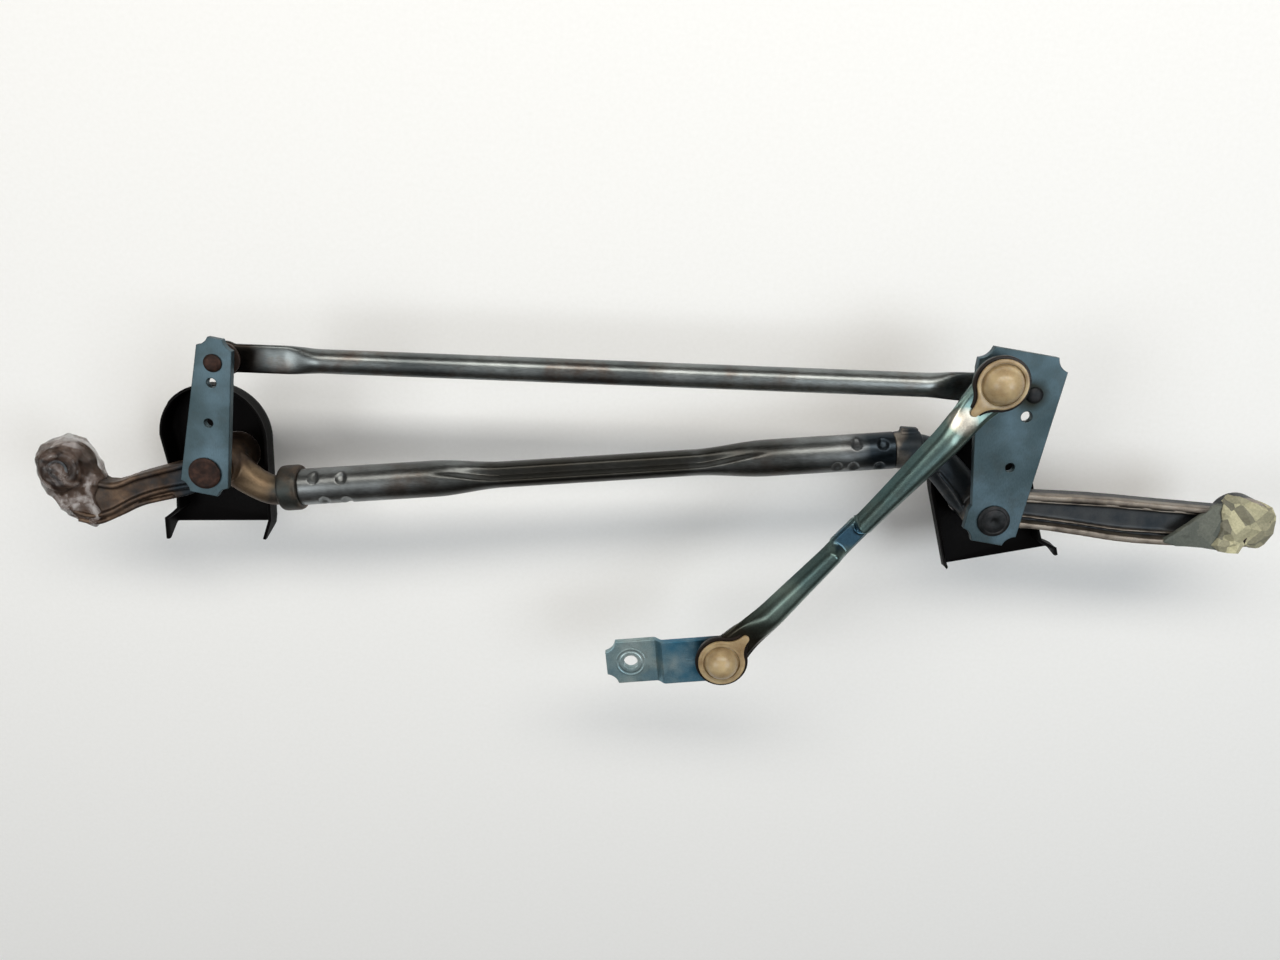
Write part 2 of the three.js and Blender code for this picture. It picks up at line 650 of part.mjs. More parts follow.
// A round tube whose ends are pressed flat around the ball sockets, drawn along +X from the right ball.
function connectingRod() {
  const flatHalfWidth = 8.6;
  const flatToRound = [34, 58];
  const roundToFlat = flatToRound.map((x) => ROD_LENGTH - x).reverse();
  const places = stations(ROD_LENGTH, flatToRound, roundToFlat);
  const bar = (inset) => (angle, t) => {
    const fromEnd = Math.min(t, 1 - t) * ROD_LENGTH;
    const round = THREE.MathUtils.smoothstep(fromEnd, ...flatToRound);
    const across = THREE.MathUtils.lerp(flatHalfWidth, ROD_R, round) - inset;
    const up = THREE.MathUtils.lerp(ROD_PAD_HALF, ROD_R, round) - inset;
    return oval(across, up)(angle);
  };
  const axis = new THREE.LineCurve3(new THREE.Vector3(0, 0, ROD_LEVEL), new THREE.Vector3(ROD_LENGTH, 0, ROD_LEVEL));
  const padLevels = [ROD_LEVEL - ROD_PAD_HALF, ROD_LEVEL + ROD_PAD_HALF];
  const holeLevels = [padLevels[0] - 1, padLevels[1] + 1];
  const outside = join(
    sweep(axis, bar(0), places, 12),
    post(ROD_PAD_R, ...padLevels),
    post(ROD_PAD_R, ...padLevels, ROD_LENGTH),
  );
  return cut(
    outside,
    sweep(axis, bar(ROD_WALL), places, 10),
    post(ROD_SOCKET_R + GAP, ...holeLevels),
    post(ROD_SOCKET_R + GAP, ...holeLevels, ROD_LENGTH),
  );
}

function rodSocket() {
  const flangeBottom = ROD_LEVEL + ROD_PAD_HALF + GAP;
  const cavity = arcProfile(ROD_BALL_R + GAP, ROD_LEVEL, 52, -90, 6);
  return turned([
    [0, ROD_LEVEL - 7.6], [5, ROD_LEVEL - 7], [ROD_SOCKET_R, ROD_LEVEL - 4.6], [ROD_SOCKET_R, flangeBottom],
    [9.4, flangeBottom], [9.4, flangeBottom + 1.6], ...cavity,
  ]);
}

// ---------------------------------------------------------------- drive link

// A pressed channel with a rounded back, drawn along +X from the upper ball. The back is flat
// beside the sockets and for a short stretch in the middle.
function driveLink() {
  const level = 36;
  const skirtBottom = 34.4;
  const flatTop = LINK_PAD_TOP;
  const crownTop = 43.5;
  const waist = 6.4;
  const swell = 2.2; // of the half width towards the ends
  const waistAt = 112;
  const offset = 1.2; // of the channel from the line between the balls
  const rises = [[22, 43], [122, 130]];
  const falls = [[103, 111], [LINK_LENGTH - 43, LINK_LENGTH - 22]];
  const places = stations(LINK_LENGTH, rises[0], falls[0], rises[1], falls[1]);
  const crown = (x) => {
    const up = rises.reduce((sum, stretch) => sum + THREE.MathUtils.smoothstep(x, ...stretch), 0);
    const down = falls.reduce((sum, stretch) => sum + THREE.MathUtils.smoothstep(x, ...stretch), 0);
    return THREE.MathUtils.lerp(flatTop, crownTop, up - down);
  };
  const halfWidth = (x) => waist + swell * THREE.MathUtils.smoothstep(Math.abs(x - waistAt), 0, 85);
  const channel = (inset, bottom) => (angle, t) => {
    const x = t * LINK_LENGTH;
    const across = offset + (halfWidth(x) - inset) * Math.cos(angle);
    const up = Math.sign(Math.sin(angle)) * Math.abs(Math.sin(angle)) ** 0.8;
    return [across, up > 0 ? (crown(x) - inset - level) * up : bottom - level];
  };
  const start = new THREE.Vector3(0, 0, level);
  const end = new THREE.Vector3(LINK_LENGTH, 0, level);
  const axis = new THREE.LineCurve3(start, end);
  const padLevels = [LINK_PAD_TOP - LINK_SHEET, LINK_PAD_TOP];
  const outside = join(
    sweep(axis, channel(0, skirtBottom), places, 14),
    post(LINK_PAD_R, ...padLevels),
    post(LINK_PAD_R, ...padLevels, LINK_LENGTH),
  );
  const ends = [0, LINK_LENGTH].map((x) => post(DRIVE_SOCKET_R + GAP, skirtBottom - 1, crownTop, x));
  const clearance = [0, LINK_LENGTH].map((x) => post(LINK_PAD_R, skirtBottom - 1, padLevels[0], x));
  return cut(outside, sweep(axis, channel(LINK_SHEET, skirtBottom - 1), places, 12), ...ends, ...clearance);
}

// Nylon socket: a dome over the ball and a flange with a tongue that points along the link.
function linkSocket() {
  const seat = LINK_PAD_TOP + GAP;
  const mouth = DRIVE_LEVEL - 6.4;
  const cavity = arcProfile(DRIVE_BALL_R + GAP, DRIVE_LEVEL, 90, -50, 7);
  const dome = [90, 70, 50, 30, 10].map((angle) => {
    const { x, y } = polar(11.2, angle);
    return [Math.max(0, x), DRIVE_LEVEL + 1 + 0.9 * y];
  });
  const body = turned([
    ...cavity, [5.4, mouth], [DRIVE_SOCKET_R, mouth], [DRIVE_SOCKET_R, seat], [DRIVE_FLANGE_R, seat],
    [DRIVE_FLANGE_R, seat + 1.8], ...dome.reverse(),
  ], 20);
  const tongue = new THREE.Shape();
  tongue.moveTo(10, -8);
  tongue.quadraticCurveTo(14, -4, 20.5, -2.6);
  tongue.absarc(20.5, 0, 2.6, -Math.PI / 2, Math.PI / 2);
  tongue.quadraticCurveTo(14, 4, 10, 8);
  const tongueSlab = slab(tongue, seat, seat + 1.8);
  return join(body, cut(tongueSlab, post(10.5, seat - 1, seat + 3)));
}

// ---------------------------------------------------------------- motor crank

const CRANK_PLATE_ANGLE = 8.5; // of the crank's edges
const JOGGLE = 5;

// Drawn along +X from the motor shaft hole to the ball end, stepped up towards the ball.
function crankPlate() {
  const halfWidth = 13.9;
  const ballTurn = CRANK_ANGLE - 180 - CRANK_PLATE_ANGLE;
  const ball = polar(CRANK_THROW, ballTurn);
  const outline = new THREE.Shape();
  const bite = 6.5;
  outline.moveTo(-15, halfWidth - bite);
  outline.lineTo(-15, bite - halfWidth);
  outline.absarc(-15, -halfWidth, bite, Math.PI / 2, 0, true);
  outline.lineTo(54, -halfWidth);
  outline.absarc(54, 0, halfWidth, -Math.PI / 2, Math.PI / 2);
  outline.lineTo(-15 + bite, halfWidth);
  outline.absarc(-15, halfWidth, bite, 0, -Math.PI / 2, true);
  const low = LEVER_BOTTOM - JOGGLE;
  const side = new THREE.Shape();
  side.moveTo(-20, low);
  side.lineTo(18, low);
  side.lineTo(26, LEVER_BOTTOM);
  side.lineTo(75, LEVER_BOTTOM);
  side.lineTo(75, LEVER_TOP);
  side.lineTo(24, LEVER_TOP);
  side.lineTo(16, low + PLATE);
  side.lineTo(-20, low + PLATE);
  const strip = new THREE.ExtrudeGeometry(side, { depth: 40, bevelEnabled: false });
  strip.rotateX(Math.PI / 2).translate(0, 20, 0);
  return cut(
    intersect(slab(outline, low - 1, LEVER_TOP + 1, 8), strip),
    post(4.25, low - 1, LEVER_TOP + 1),
    post(DRIVE_TENON_R + GAP, low - 1, LEVER_TOP + 1, ball.x, ball.y),
  );
}

// ---------------------------------------------------------------- assembly

const driveBall = polar(DRIVE_ARM, DRIVE_ARM_ANGLE).add(new THREE.Vector2(PIVOT_SPACING, 0));
const crankBall = polar(LINK_LENGTH, LINK_ANGLE).add(driveBall);
const motorHub = polar(CRANK_THROW, CRANK_ANGLE).add(crankBall);

const frame = groupAt(
  0, 0, 0,
  piece('frame_tube', frameTube(), 'steelTube'),
  piece('left_pivot_housing', leftHousing(), 'castAluminium'),
  piece('right_pivot_housing', rightHousing(), 'castAluminium'),
  pivotBushes('left', 0),
  pivotBushes('right', PIVOT_SPACING),
  mountingEye('left', LEFT_EYE, LEFT_EYE_R),
  mountingEye('right', RIGHT_EYE, RIGHT_EYE_R),
  piece('left_rain_shield', rainShield(LEFT_SHIELD), 'shieldPlastic'),
  groupAt(
    PIVOT_SPACING, 0, RIGHT_SHIELD_TURN,
    piece('right_rain_shield', rainShield(RIGHT_SHIELD).scale(-1, 1, 1), 'shieldPlastic'),
  ),
  piece('left_packing_film', leftFilm(), 'film'),
  piece('right_packing_tape', rightTape(), 'tape'),
);

const leftLever = groupAt(
  0, 0, LEVER_ANGLE,
  piece('left_lever_plate', leftLeverPlate(), 'zinc'),
  ...pivotHardware('left'),
  groupAt(LEFT_ARM, 0, 0, piece('left_rod_rivet', rodRivet(), 'shaftSteel')),
);

const rightLever = groupAt(
  PIVOT_SPACING, 0, RIGHT_PLATE_ANGLE,
  piece('right_lever_plate', rightLeverPlate(), 'zinc'),
  ...pivotHardware('right'),
);

const rightStuds = groupAt(
  0, 0, 0,
  groupAt(...rightRodBall, 0, piece('right_rod_ball_stud', rivetedRodBallStud(), 'shaftSteel')),
  groupAt(...driveBall, 0, piece('drive_ball_stud', driveBallStud(), 'shaftSteel')),
);

const rod = groupAt(
  ...rightRodBall, ROD_ANGLE,
  piece('connecting_rod', connectingRod(), 'steelTube'),
  piece('right_rod_socket', rodSocket(), 'darkNylon'),
  groupAt(
    ROD_LENGTH, 0, 0,
    piece('left_rod_socket', rodSocket(), 'darkNylon'),
    piece('left_rod_ball_stud', looseRodBallStud(), 'shaftSteel'),
  ),
);

const link = groupAt(
  ...driveBall, LINK_ANGLE,
  piece('drive_link', driveLink(), 'zinc'),
  piece('upper_link_socket', linkSocket(), 'nylon'),
  groupAt(LINK_LENGTH, 0, 180, piece('lower_link_socket', linkSocket(), 'nylon')),
);

const crank = groupAt(
  0, 0, 0,
  groupAt(...motorHub, CRANK_PLATE_ANGLE, piece('motor_crank', crankPlate(), 'zinc')),
  groupAt(...crankBall, 0, piece('crank_ball_stud', driveBallStud(), 'shaftSteel')),
);

const group = groupAt(-LEFT_EYE.x, -LEFT_EYE.y, 0, frame, leftLever, rightLever, rightStuds, rod, link, crank);
group.name = 'wiper_linkage';

export default group;
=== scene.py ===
# %% [markdown]
# # A car's windshield wiper linkage
# A steel tube with a cast housing at each end carries two pivot shafts. A plate lever stands on
# each shaft, a rod couples the levers, and a long link with big nylon sockets brings the motion
# from the motor's crank. The plain model of it is loaded first, and finer pieces are then built
# around that model, in the same place and at the same size.

# %% Load the plain model
import json
import math

import bmesh
import bpy
import numpy as np
from mathutils import Matrix, Vector, noise


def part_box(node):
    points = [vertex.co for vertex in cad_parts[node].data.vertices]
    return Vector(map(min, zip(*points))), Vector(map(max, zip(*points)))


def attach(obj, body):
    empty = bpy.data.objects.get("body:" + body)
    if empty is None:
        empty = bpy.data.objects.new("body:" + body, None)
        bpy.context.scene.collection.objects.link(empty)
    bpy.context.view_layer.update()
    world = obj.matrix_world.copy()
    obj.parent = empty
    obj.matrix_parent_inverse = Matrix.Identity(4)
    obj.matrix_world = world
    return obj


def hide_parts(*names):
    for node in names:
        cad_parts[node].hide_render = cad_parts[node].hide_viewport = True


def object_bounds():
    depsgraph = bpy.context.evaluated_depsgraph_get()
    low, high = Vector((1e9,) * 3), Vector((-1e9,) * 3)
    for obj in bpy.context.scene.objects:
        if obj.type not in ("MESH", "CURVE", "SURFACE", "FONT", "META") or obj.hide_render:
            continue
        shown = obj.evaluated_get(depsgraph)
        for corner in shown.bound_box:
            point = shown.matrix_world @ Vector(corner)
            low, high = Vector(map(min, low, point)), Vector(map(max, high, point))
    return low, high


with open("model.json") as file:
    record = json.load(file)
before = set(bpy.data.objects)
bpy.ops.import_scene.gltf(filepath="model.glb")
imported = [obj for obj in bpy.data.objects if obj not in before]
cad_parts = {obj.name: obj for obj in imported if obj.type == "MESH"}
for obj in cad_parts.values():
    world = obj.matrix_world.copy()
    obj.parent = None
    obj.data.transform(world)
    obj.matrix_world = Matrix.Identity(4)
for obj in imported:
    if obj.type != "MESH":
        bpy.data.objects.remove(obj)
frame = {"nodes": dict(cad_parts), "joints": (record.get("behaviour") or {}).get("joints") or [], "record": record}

cad_box = [list(corner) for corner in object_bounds()]
print("plain model:", len(frame["nodes"]), "nodes, box in metres", cad_box)

# %% [markdown]
# ## Working in millimetres
# Every piece is drawn in millimetres from the left pivot, with X to the right pivot, Y towards
# the coupling rod and Z along the shafts to the side of the levers. The joints of the plain
# model say where the pivots and balls are, so the fine pieces turn about the same points.

# %% Pivots and balls
joints = {joint["name"]: Vector(joint["pos_m"]) * 1000 for joint in frame["joints"]}
START = joints["left_pivot"].copy()
for point in joints.values():
    point -= START
RIGHT_PIVOT = joints["right_pivot"]
RIGHT_ROD_BALL = joints["rod_ball_joint"]
DRIVE_BALL = joints["drive_ball_joint"]
CRANK_BALL = joints["crank_ball_joint"]
to_metres = Matrix.Scale(0.001, 4) @ Matrix.Translation(START)
print("right pivot", RIGHT_PIVOT, "drive ball", DRIVE_BALL, "crank ball", CRANK_BALL)


def middle(node):
    """The middle of a node of the plain model, in millimetres from the left pivot."""
    low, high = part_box(node)
    return (low + high) * 500 - START


LEFT_EYE, RIGHT_EYE = middle("left_eye_sleeve"), middle("right_eye_sleeve")
LEFT_ROD_BALL = middle("left_rod_ball_stud")
hub_low, hub_high = frame["record"]["physics"]["openings"][2]["box_m"]
MOTOR_HUB = Vector(hub_low) * 500 + Vector(hub_high) * 500 - START
print("eyes", LEFT_EYE, RIGHT_EYE, "left rod ball", LEFT_ROD_BALL, "motor hub", MOTOR_HUB)

# %% [markdown]
# ## Levels
# The linkage is a stack of flat layers: the frame tube lowest, then the coupling rod, the lever
# plates and the crank, and the drive link on top. One table of levels keeps the layers apart.

# %% Levels along Z
LEVER_LOW, LEVER_TOP = 21.5, 26
ROD_LEVEL = 8  # centres of the rod's balls
DRIVE_LEVEL = 36.5  # centres of the link's balls
BARREL_LOW, BARREL_TOP = -35, 14
GAP = 0.3  # between pieces that fit together

# %% [markdown]
# ## Studio
# A pale floor under the shaft tips, one long soft strip light that draws the bright line along
# every tube, and two soft boxes. The sky runs from a dim warm grey to white overhead, so bare
# metal has something darker to mirror beside the lights.

# %% Colours and nodes
def srgb(hex_colour):
    """An sRGB hex colour as the linear RGBA that nodes expect."""
    parts = [int(hex_colour[i:i + 2], 16) / 255 for i in (0, 2, 4)]
    linear = [c / 12.92 if c <= 0.04045 else ((c + 0.055) / 1.055) ** 2.4 for c in parts]
    return (*linear, 1.0)


def add(tree, kind, sockets=(), **settings):
    """Adds a node: settings are its properties, sockets its inputs as values or links."""
    node = tree.nodes.new(kind)
    for key, value in settings.items():
        setattr(node, key, value)
    for key, value in dict(sockets).items():
        if isinstance(value, bpy.types.NodeSocket):
            tree.links.new(value, node.inputs[key])
        else:
            node.inputs[key].default_value = value
    return node


def surface(name):
    """A new material, its node tree and shader, and the coordinates on the object."""
    material = bpy.data.materials.new(name)
    material.use_nodes = True
    tree = material.node_tree
    where = add(tree, "ShaderNodeTexCoord").outputs["Object"]
    return material, tree, tree.nodes["Principled BSDF"], where


def cloudy(tree, where, millimetres, detail, **more):
    """A noise whose features are about this large, on coordinates in metres."""
    sockets = {"Vector": where, "Scale": 1000 / millimetres, "Detail": detail, **more}
    return add(tree, "ShaderNodeTexNoise", sockets).outputs["Fac"]


def ranged(tree, value, start, end, low=0.0, high=1.0):
    """A value that goes from low at start to high at end."""
    sockets = {"Value": value, "From Min": start, "From Max": end, "To Min": low, "To Max": high}
    return add(tree, "ShaderNodeMapRange", sockets).outputs["Result"]


def blend(tree, share, under, over):
    """One colour over another, by a share from 0 to 1."""
    sockets = {"Factor": share, "A": under, "B": over}
    return add(tree, "ShaderNodeMix", sockets, data_type="RGBA").outputs["Result"]


def ramp(tree, value, first, second, third):
    """A colour that passes three (place, hex colour) stops as the value grows."""
    node = add(tree, "ShaderNodeValToRGB", {"Fac": value})
    stops = node.color_ramp.elements
    stops.new(second[0])
    for stop, (place, colour) in zip(stops, (first, second, third)):
        stop.position, stop.color = place, srgb(colour)
    return node.outputs["Color"]


def bumpy(tree, shader, height, strength, depth):
    """Gives the shader a bump of this depth in millimetres."""
    sockets = {"Height": height, "Strength": strength, "Distance": depth / 1000}
    normal = add(tree, "ShaderNodeBump", sockets).outputs["Normal"]
    tree.links.new(normal, shader.inputs["Normal"])


def speckled(tree, colour, grain, least, most):
    """A colour that a fine grain makes darker, down to least, and lighter, up to most."""
    sockets = {"Color": colour, "Value": ranged(tree, grain, 0.3, 0.7, least, most)}
    return add(tree, "ShaderNodeHueSaturation", sockets).outputs["Color"]


# %% Floor, sky and camera
scene = bpy.context.scene
scene.view_settings.view_transform = "Standard"
FLOOR = cad_box[0][2] - 0.0005


def painted_floor():
    material, tree, shader, where = surface("pale_painted_floor")
    speck = add(tree, "ShaderNodeTexNoise", {"Vector": where, "Scale": 400}).outputs["Fac"]
    tree.links.new(blend(tree, speck, srgb("f0f0ee"), srgb("f6f6f5")), shader.inputs["Base Color"])
    shader.inputs["Roughness"].default_value = 0.8
    return material


bpy.ops.mesh.primitive_plane_add(size=8, location=(0.345, 0, FLOOR))
floor = bpy.context.object
floor.name = "floor"
floor.data.materials.append(painted_floor())

world = bpy.data.worlds.new("studio")
scene.world = world
world.use_nodes = True
sky = world.node_tree
direction = add(sky, "ShaderNodeTexCoord")
height = add(sky, "ShaderNodeSeparateXYZ", {"Vector": direction.outputs["Generated"]})
shade = ramp(sky, height.outputs["Z"], (0.0, "8a7f75"), (0.55, "6e6b69"), (1.0, "ffffff"))
background = sky.nodes["Background"]
sky.links.new(shade, background.inputs["Color"])
background.inputs["Strength"].default_value = 0.5

CAMERA_TILT, CAMERA_ROLL, CAMERA_DISTANCE = 17, 3.47, 570
CAMERA_TARGET = Vector((249.84, 3.68, 0))
tilt, roll = math.radians(CAMERA_TILT), math.radians(CAMERA_ROLL)
away = Vector((0, math.sin(tilt), math.cos(tilt)))
level_up = Vector((0, math.cos(tilt), -math.sin(tilt)))
right = math.cos(roll) * Vector((1, 0, 0)) + math.sin(roll) * level_up
up = -math.sin(roll) * Vector((1, 0, 0)) + math.cos(roll) * level_up
camera = bpy.data.objects.new("camera", bpy.data.cameras.new("camera"))
scene.collection.objects.link(camera)
camera.data.sensor_width, camera.data.lens = 36, 26.72
camera.data.clip_start = 0.01
turned_to = Matrix((right, up, away)).transposed().to_4x4()
camera.matrix_world = Matrix.Translation(
    to_metres @ (CAMERA_TARGET + CAMERA_DISTANCE * away)) @ turned_to
scene.camera = camera

# %% Lights
def soft_box(name, place, aim, size, power, tint):
    """An area light of the given size in metres, turned to face the aim."""
    lamp = bpy.data.lights.new(name, "AREA")
    lamp.shape, (lamp.size, lamp.size_y) = "RECTANGLE", size
    lamp.energy, lamp.color = power, srgb(tint)[:3]
    light = bpy.data.objects.new(name, lamp)
    scene.collection.objects.link(light)
    light.location = place
    light.rotation_euler = (Vector(aim) - Vector(place)).to_track_quat("-Z", "Y").to_euler()


LAMPS = {  # place and size in metres, power in watts, tint
    "strip": ((0.345, 0.95, 0.95), (1.9, 0.3), 13, "fffaf2"),
    "left_box": ((-0.75, -0.05, 1.25), (0.7, 0.7), 7.5, "f2f5f6"),
    "right_box": ((1.25, 0.1, 1.25), (0.7, 0.7), 7.5, "e8f0f6"),
}
for name, (place, lamp_size, power, tint) in LAMPS.items():
    soft_box(name, place, (0.345, 0, 0), lamp_size, power, tint)
print("floor at", round(FLOOR, 4), "camera at", tuple(round(c, 3) for c in camera.location))

# %% [markdown]
# ## Finishes
# Bare and plated metals are a metallic surface whose colour wanders in soft patches, whose
# roughness varies a little finer than that, and whose grain is a shallow bump. One function
# lays these three over each other, and every metal gives it its own colours and real sizes.

# %% A metal surface with patches, stains and grain
def mix(a, b, t):
    return a + (b - a) * t


def metal(name, dark, mid, light, roughness, patch, grain, relief, stain=None,
          brushed=(1, 1, 1), metallic=1.0, painted_low_shade=None, oil_and_painted_light_spots=()):
    """roughness is a (least, most) pair; patch and grain are in mm, relief in mm; stain is
    a (colour, share, size in mm) of rust, oil or dirt; the low-parts triple (colour, low, high)
    is a painted shade over the low parts, full up to low and gone by high, in mm; the spot list
    holds spots of oil and spots of painted shade and painted light, as (colour, (x, y, z) in mm, reach in mm)."""
    material, tree, shader, where = surface(name)
    along = add(tree, "ShaderNodeMapping", {"Vector": where, "Scale": brushed}).outputs["Vector"]
    cloud = cloudy(tree, where, patch, 4)
    colour = ramp(tree, cloud, (0.3, dark), (0.5, mid), (0.72, light))
    fine = cloudy(tree, along, grain, 3)
    if stain:
        stain_colour, share, stain_size = stain
        spots = cloudy(tree, where, stain_size, 6, Roughness=0.65)
        stained = ranged(tree, spots, 0.5, 0.75, 0, share)
        colour = blend(tree, stained, colour, srgb(stain_colour))
    # Painted shade: parts below the given level are darkened, as if the light did not reach them.
    if painted_low_shade:
        low_shade_colour, *levels = painted_low_shade
        low, high = ((level + START.z) / 1000 for level in levels)
        level = add(tree, "ShaderNodeSeparateXYZ", {"Vector": where}).outputs["Z"]
        colour = blend(tree, ranged(tree, level, low, high, 0.85, 0), colour, srgb(low_shade_colour))
    # Spots of oil and spots of painted shade and painted light, each fading out past its reach.
    for spot_colour, spot, reach in oil_and_painted_light_spots:
        reach /= 1000
        centre = {0: where, 1: to_metres @ Vector(spot)}
        far = add(tree, "ShaderNodeVectorMath", centre, operation="DISTANCE").outputs["Value"]
        ragged = add(tree, "ShaderNodeMath", {0: cloud, 1: reach, 2: far}, operation="MULTIPLY_ADD")
        spot_share = ranged(tree, ragged.outputs["Value"], reach, 1.5 * reach, 0.92, 0)
        colour = blend(tree, spot_share, colour, srgb(spot_colour))
    tree.links.new(speckled(tree, colour, fine, 0.86, 1.14), shader.inputs["Base Color"])
    tree.links.new(ranged(tree, fine, 0.3, 0.7, *roughness), shader.inputs["Roughness"])
    bumpy(tree, shader, fine, 0.5, relief)
    shader.inputs["Metallic"].default_value = metallic
    return material


# %% [markdown]
# Levers and crank are stamped from sheet steel, tumbled and zinc plated with a blue passivation,
# which gives a dull blue-grey with cloudy patches 20 to 30 mm across. The link is the same steel
# pressed to shape, which stretches the plating bright. The tubes are drawn, so they shine more
# along their length. Castings keep the sandy skin of the mould and old grease turns it brown.
# Turned rivets and shafts carry a film of rust and oil. Oil from each ball darkens what is near,
# and a few spots of painted shade and painted light mark where the light falls unevenly.

# %% Metals of the linkage
TUBE_COLLAR = Vector((41, -14, 6))
zinc_plate = metal(
    "blue_passivated_zinc_plate", "38464a", "46555a", "5b6f79", (0.42, 0.54), 30, 0.7, 0.015,
    stain=("3f3d35", 0.35, 12), brushed=(1, 0.4, 1),
    oil_and_painted_light_spots=[("26261f", RIGHT_ROD_BALL + Vector((-2, 1, 20)), 11)])
crank_plate_zinc = metal(
    "bright_zinc_crank", "7393a0", "95adb0", "b3c2c1", (0.36, 0.5), 20, 0.7, 0.015,
    stain=("4b463d", 0.4, 7),
    oil_and_painted_light_spots=[("3f7c9a", CRANK_BALL, 46), ("1a1612", CRANK_BALL, 27)])
link_zinc = metal(
    "stretched_zinc_link", "40585a", "5a6f6d", "7c8d84", (0.28, 0.38), 45, 0.9, 0.004,
    stain=("5b5546", 0.35, 25),
    # the cream-white spot near the upper ball is a painted highlight on the bead
    oil_and_painted_light_spots=[("e6dccb", mix(DRIVE_BALL, CRANK_BALL, 0.13), 10), ("332c22", CRANK_BALL, 62),
            ("3f6076", mix(DRIVE_BALL, CRANK_BALL, 0.525), 11), ("17110c", CRANK_BALL, 26)])
frame_zinc = metal(
    "drawn_steel_frame_tube", "494a49", "6b6e6e", "969b9d", (0.3, 0.4), 45, 0.7, 0.005,
    stain=("4a3424", 0.75, 24), brushed=(0.2, 1, 1),
    # the dark spot over the pressed middle and the blue-black spot on the top at the right end are painted shade
    oil_and_painted_light_spots=[("2c2b27", Vector((225, 9, 0)), 122), ("1c262e", Vector((392, 38, 4)), 30)])
rod_zinc = metal(
    "drawn_steel_rod", "54595a", "727777", "979c9b", (0.28, 0.38), 45, 0.7, 0.005,
    stain=("5b4230", 0.75, 22), brushed=(0.2, 1, 1),
    oil_and_painted_light_spots=[("241b15", LEFT_ROD_BALL, 24), ("2b211a", RIGHT_ROD_BALL, 26)])
brown_casting = metal(
    "oiled_aluminium_casting", "2f2620", "4b3c31", "6f5b4a", (0.4, 0.58), 12, 1.1, 0.1,
    stain=("2b3236", 0.8, 16), metallic=0.85,
    # the blue-grey spot beside the barrel is a painted shadow of the lever, and the pale spot on the neck is
    # painted light
    oil_and_painted_light_spots=[("222c33", Vector((-18, -13, 4)), 16), ("3d4240", TUBE_COLLAR, 16),
            ("77654f", Vector((19, -10, 9)), 14)])
grey_casting = metal(
    "dirty_aluminium_casting", "554e47", "857b70", "aea497", (0.4, 0.58), 12, 1.0, 0.08,
    # the dark blue-grey over the low parts is painted shade
    stain=("2a2f34", 0.6, 12), metallic=0.85, painted_low_shade=("1f2a32", 0.4, 2.2),
    # the dark blue-grey spot on the neck is painted shade
    oil_and_painted_light_spots=[("1f2a32", Vector((RIGHT_PIVOT.x - 27, 26, 6)), 46)])
rusty_steel = metal(
    "rusty_turned_steel", "1d110d", "2f1d16", "472f25", (0.5, 0.66), 4, 0.5, 0.02,
    stain=("150c08", 0.6, 5), metallic=0.6)
blackened_steel = metal(
    "blackened_turned_steel", "17191a", "232526", "35373a", (0.42, 0.58), 5, 0.5, 0.02,
    stain=("2d2116", 0.4, 5), metallic=0.8)
shaft_metal = metal(
    "turned_oiled_steel", "4a4a49", "6d6b68", "918e88", (0.22, 0.36), 5, 0.4, 0.01,
    stain=("3d2a1e", 0.5, 6), brushed=(0.5, 0.5, 3))
phosphated = metal(
    "phosphated_spring_steel", "2f3133", "46484a", "5d5f61", (0.35, 0.5), 4, 0.4, 0.02)
sintered_bronze = metal(
    "sintered_bronze", "7b5c33", "9a7a4a", "b8986a", (0.4, 0.55), 3, 0.3, 0.03)
print("metals ready")

# %% [markdown]
# Nylon lets light sink in a little, so its edges glow and its shade is warm. Dirt collects as a
# brown tint in soft patches. The rain shields are a glossy black plastic with a thin brown film,
# and the bushes in the eyes are black-brown rubber.

# %% A moulded plastic or rubber surface
def moulded(name, dark, light, roughness, patch, grain, relief, glow=0.0, shine=0.5):
    """roughness is a (least, most) pair; patch, grain and relief are in mm; glow is how far
    light sinks in, from 0 to 1."""
    material, tree, shader, where = surface(name)
    cloud = ranged(tree, cloudy(tree, where, patch, 5), 0.32, 0.68)
    fine = cloudy(tree, where, grain, 2)
    tree.links.new(blend(tree, cloud, srgb(dark), srgb(light)), shader.inputs["Base Color"])
    tree.links.new(ranged(tree, fine, 0.3, 0.7, *roughness), shader.inputs["Roughness"])
    bumpy(tree, shader, fine, 0.5, relief)
    shader.inputs["IOR"].default_value = 1.5
    shader.inputs["Specular IOR Level"].default_value = shine
    if glow:
        shader.inputs["Subsurface Weight"].default_value = glow
        shader.inputs["Subsurface Radius"].default_value = srgb("d8b07a")[:3]
        shader.inputs["Subsurface Scale"].default_value = 0.002
    return material


natural_nylon = moulded(
    "natural_nylon", "8a7352", "bba67f", (0.26, 0.36), 9, 0.8, 0.02, glow=0.15)
dark_nylon = moulded("oiled_dark_nylon", "1d1512", "3b2a22", (0.35, 0.5), 6, 0.6, 0.02)
shield_plastic = moulded(
    "black_shield_plastic", "040303", "080606", (0.45, 0.6), 14, 0.9, 0.02, shine=0.06)
bush_rubber = moulded("bush_rubber", "140d0a", "2a1b15", (0.42, 0.62), 5, 0.5, 0.05, shine=0.3)
# dark brown for the rings round the link's sockets: partly grease, partly painted shadow
grease_and_painted_shadow = moulded("brown_grease_and_painted_shadow", "0d0805", "1f140b", (0.3, 0.45), 4, 0.8, 0.05, shine=0.25)
print("plastics ready")

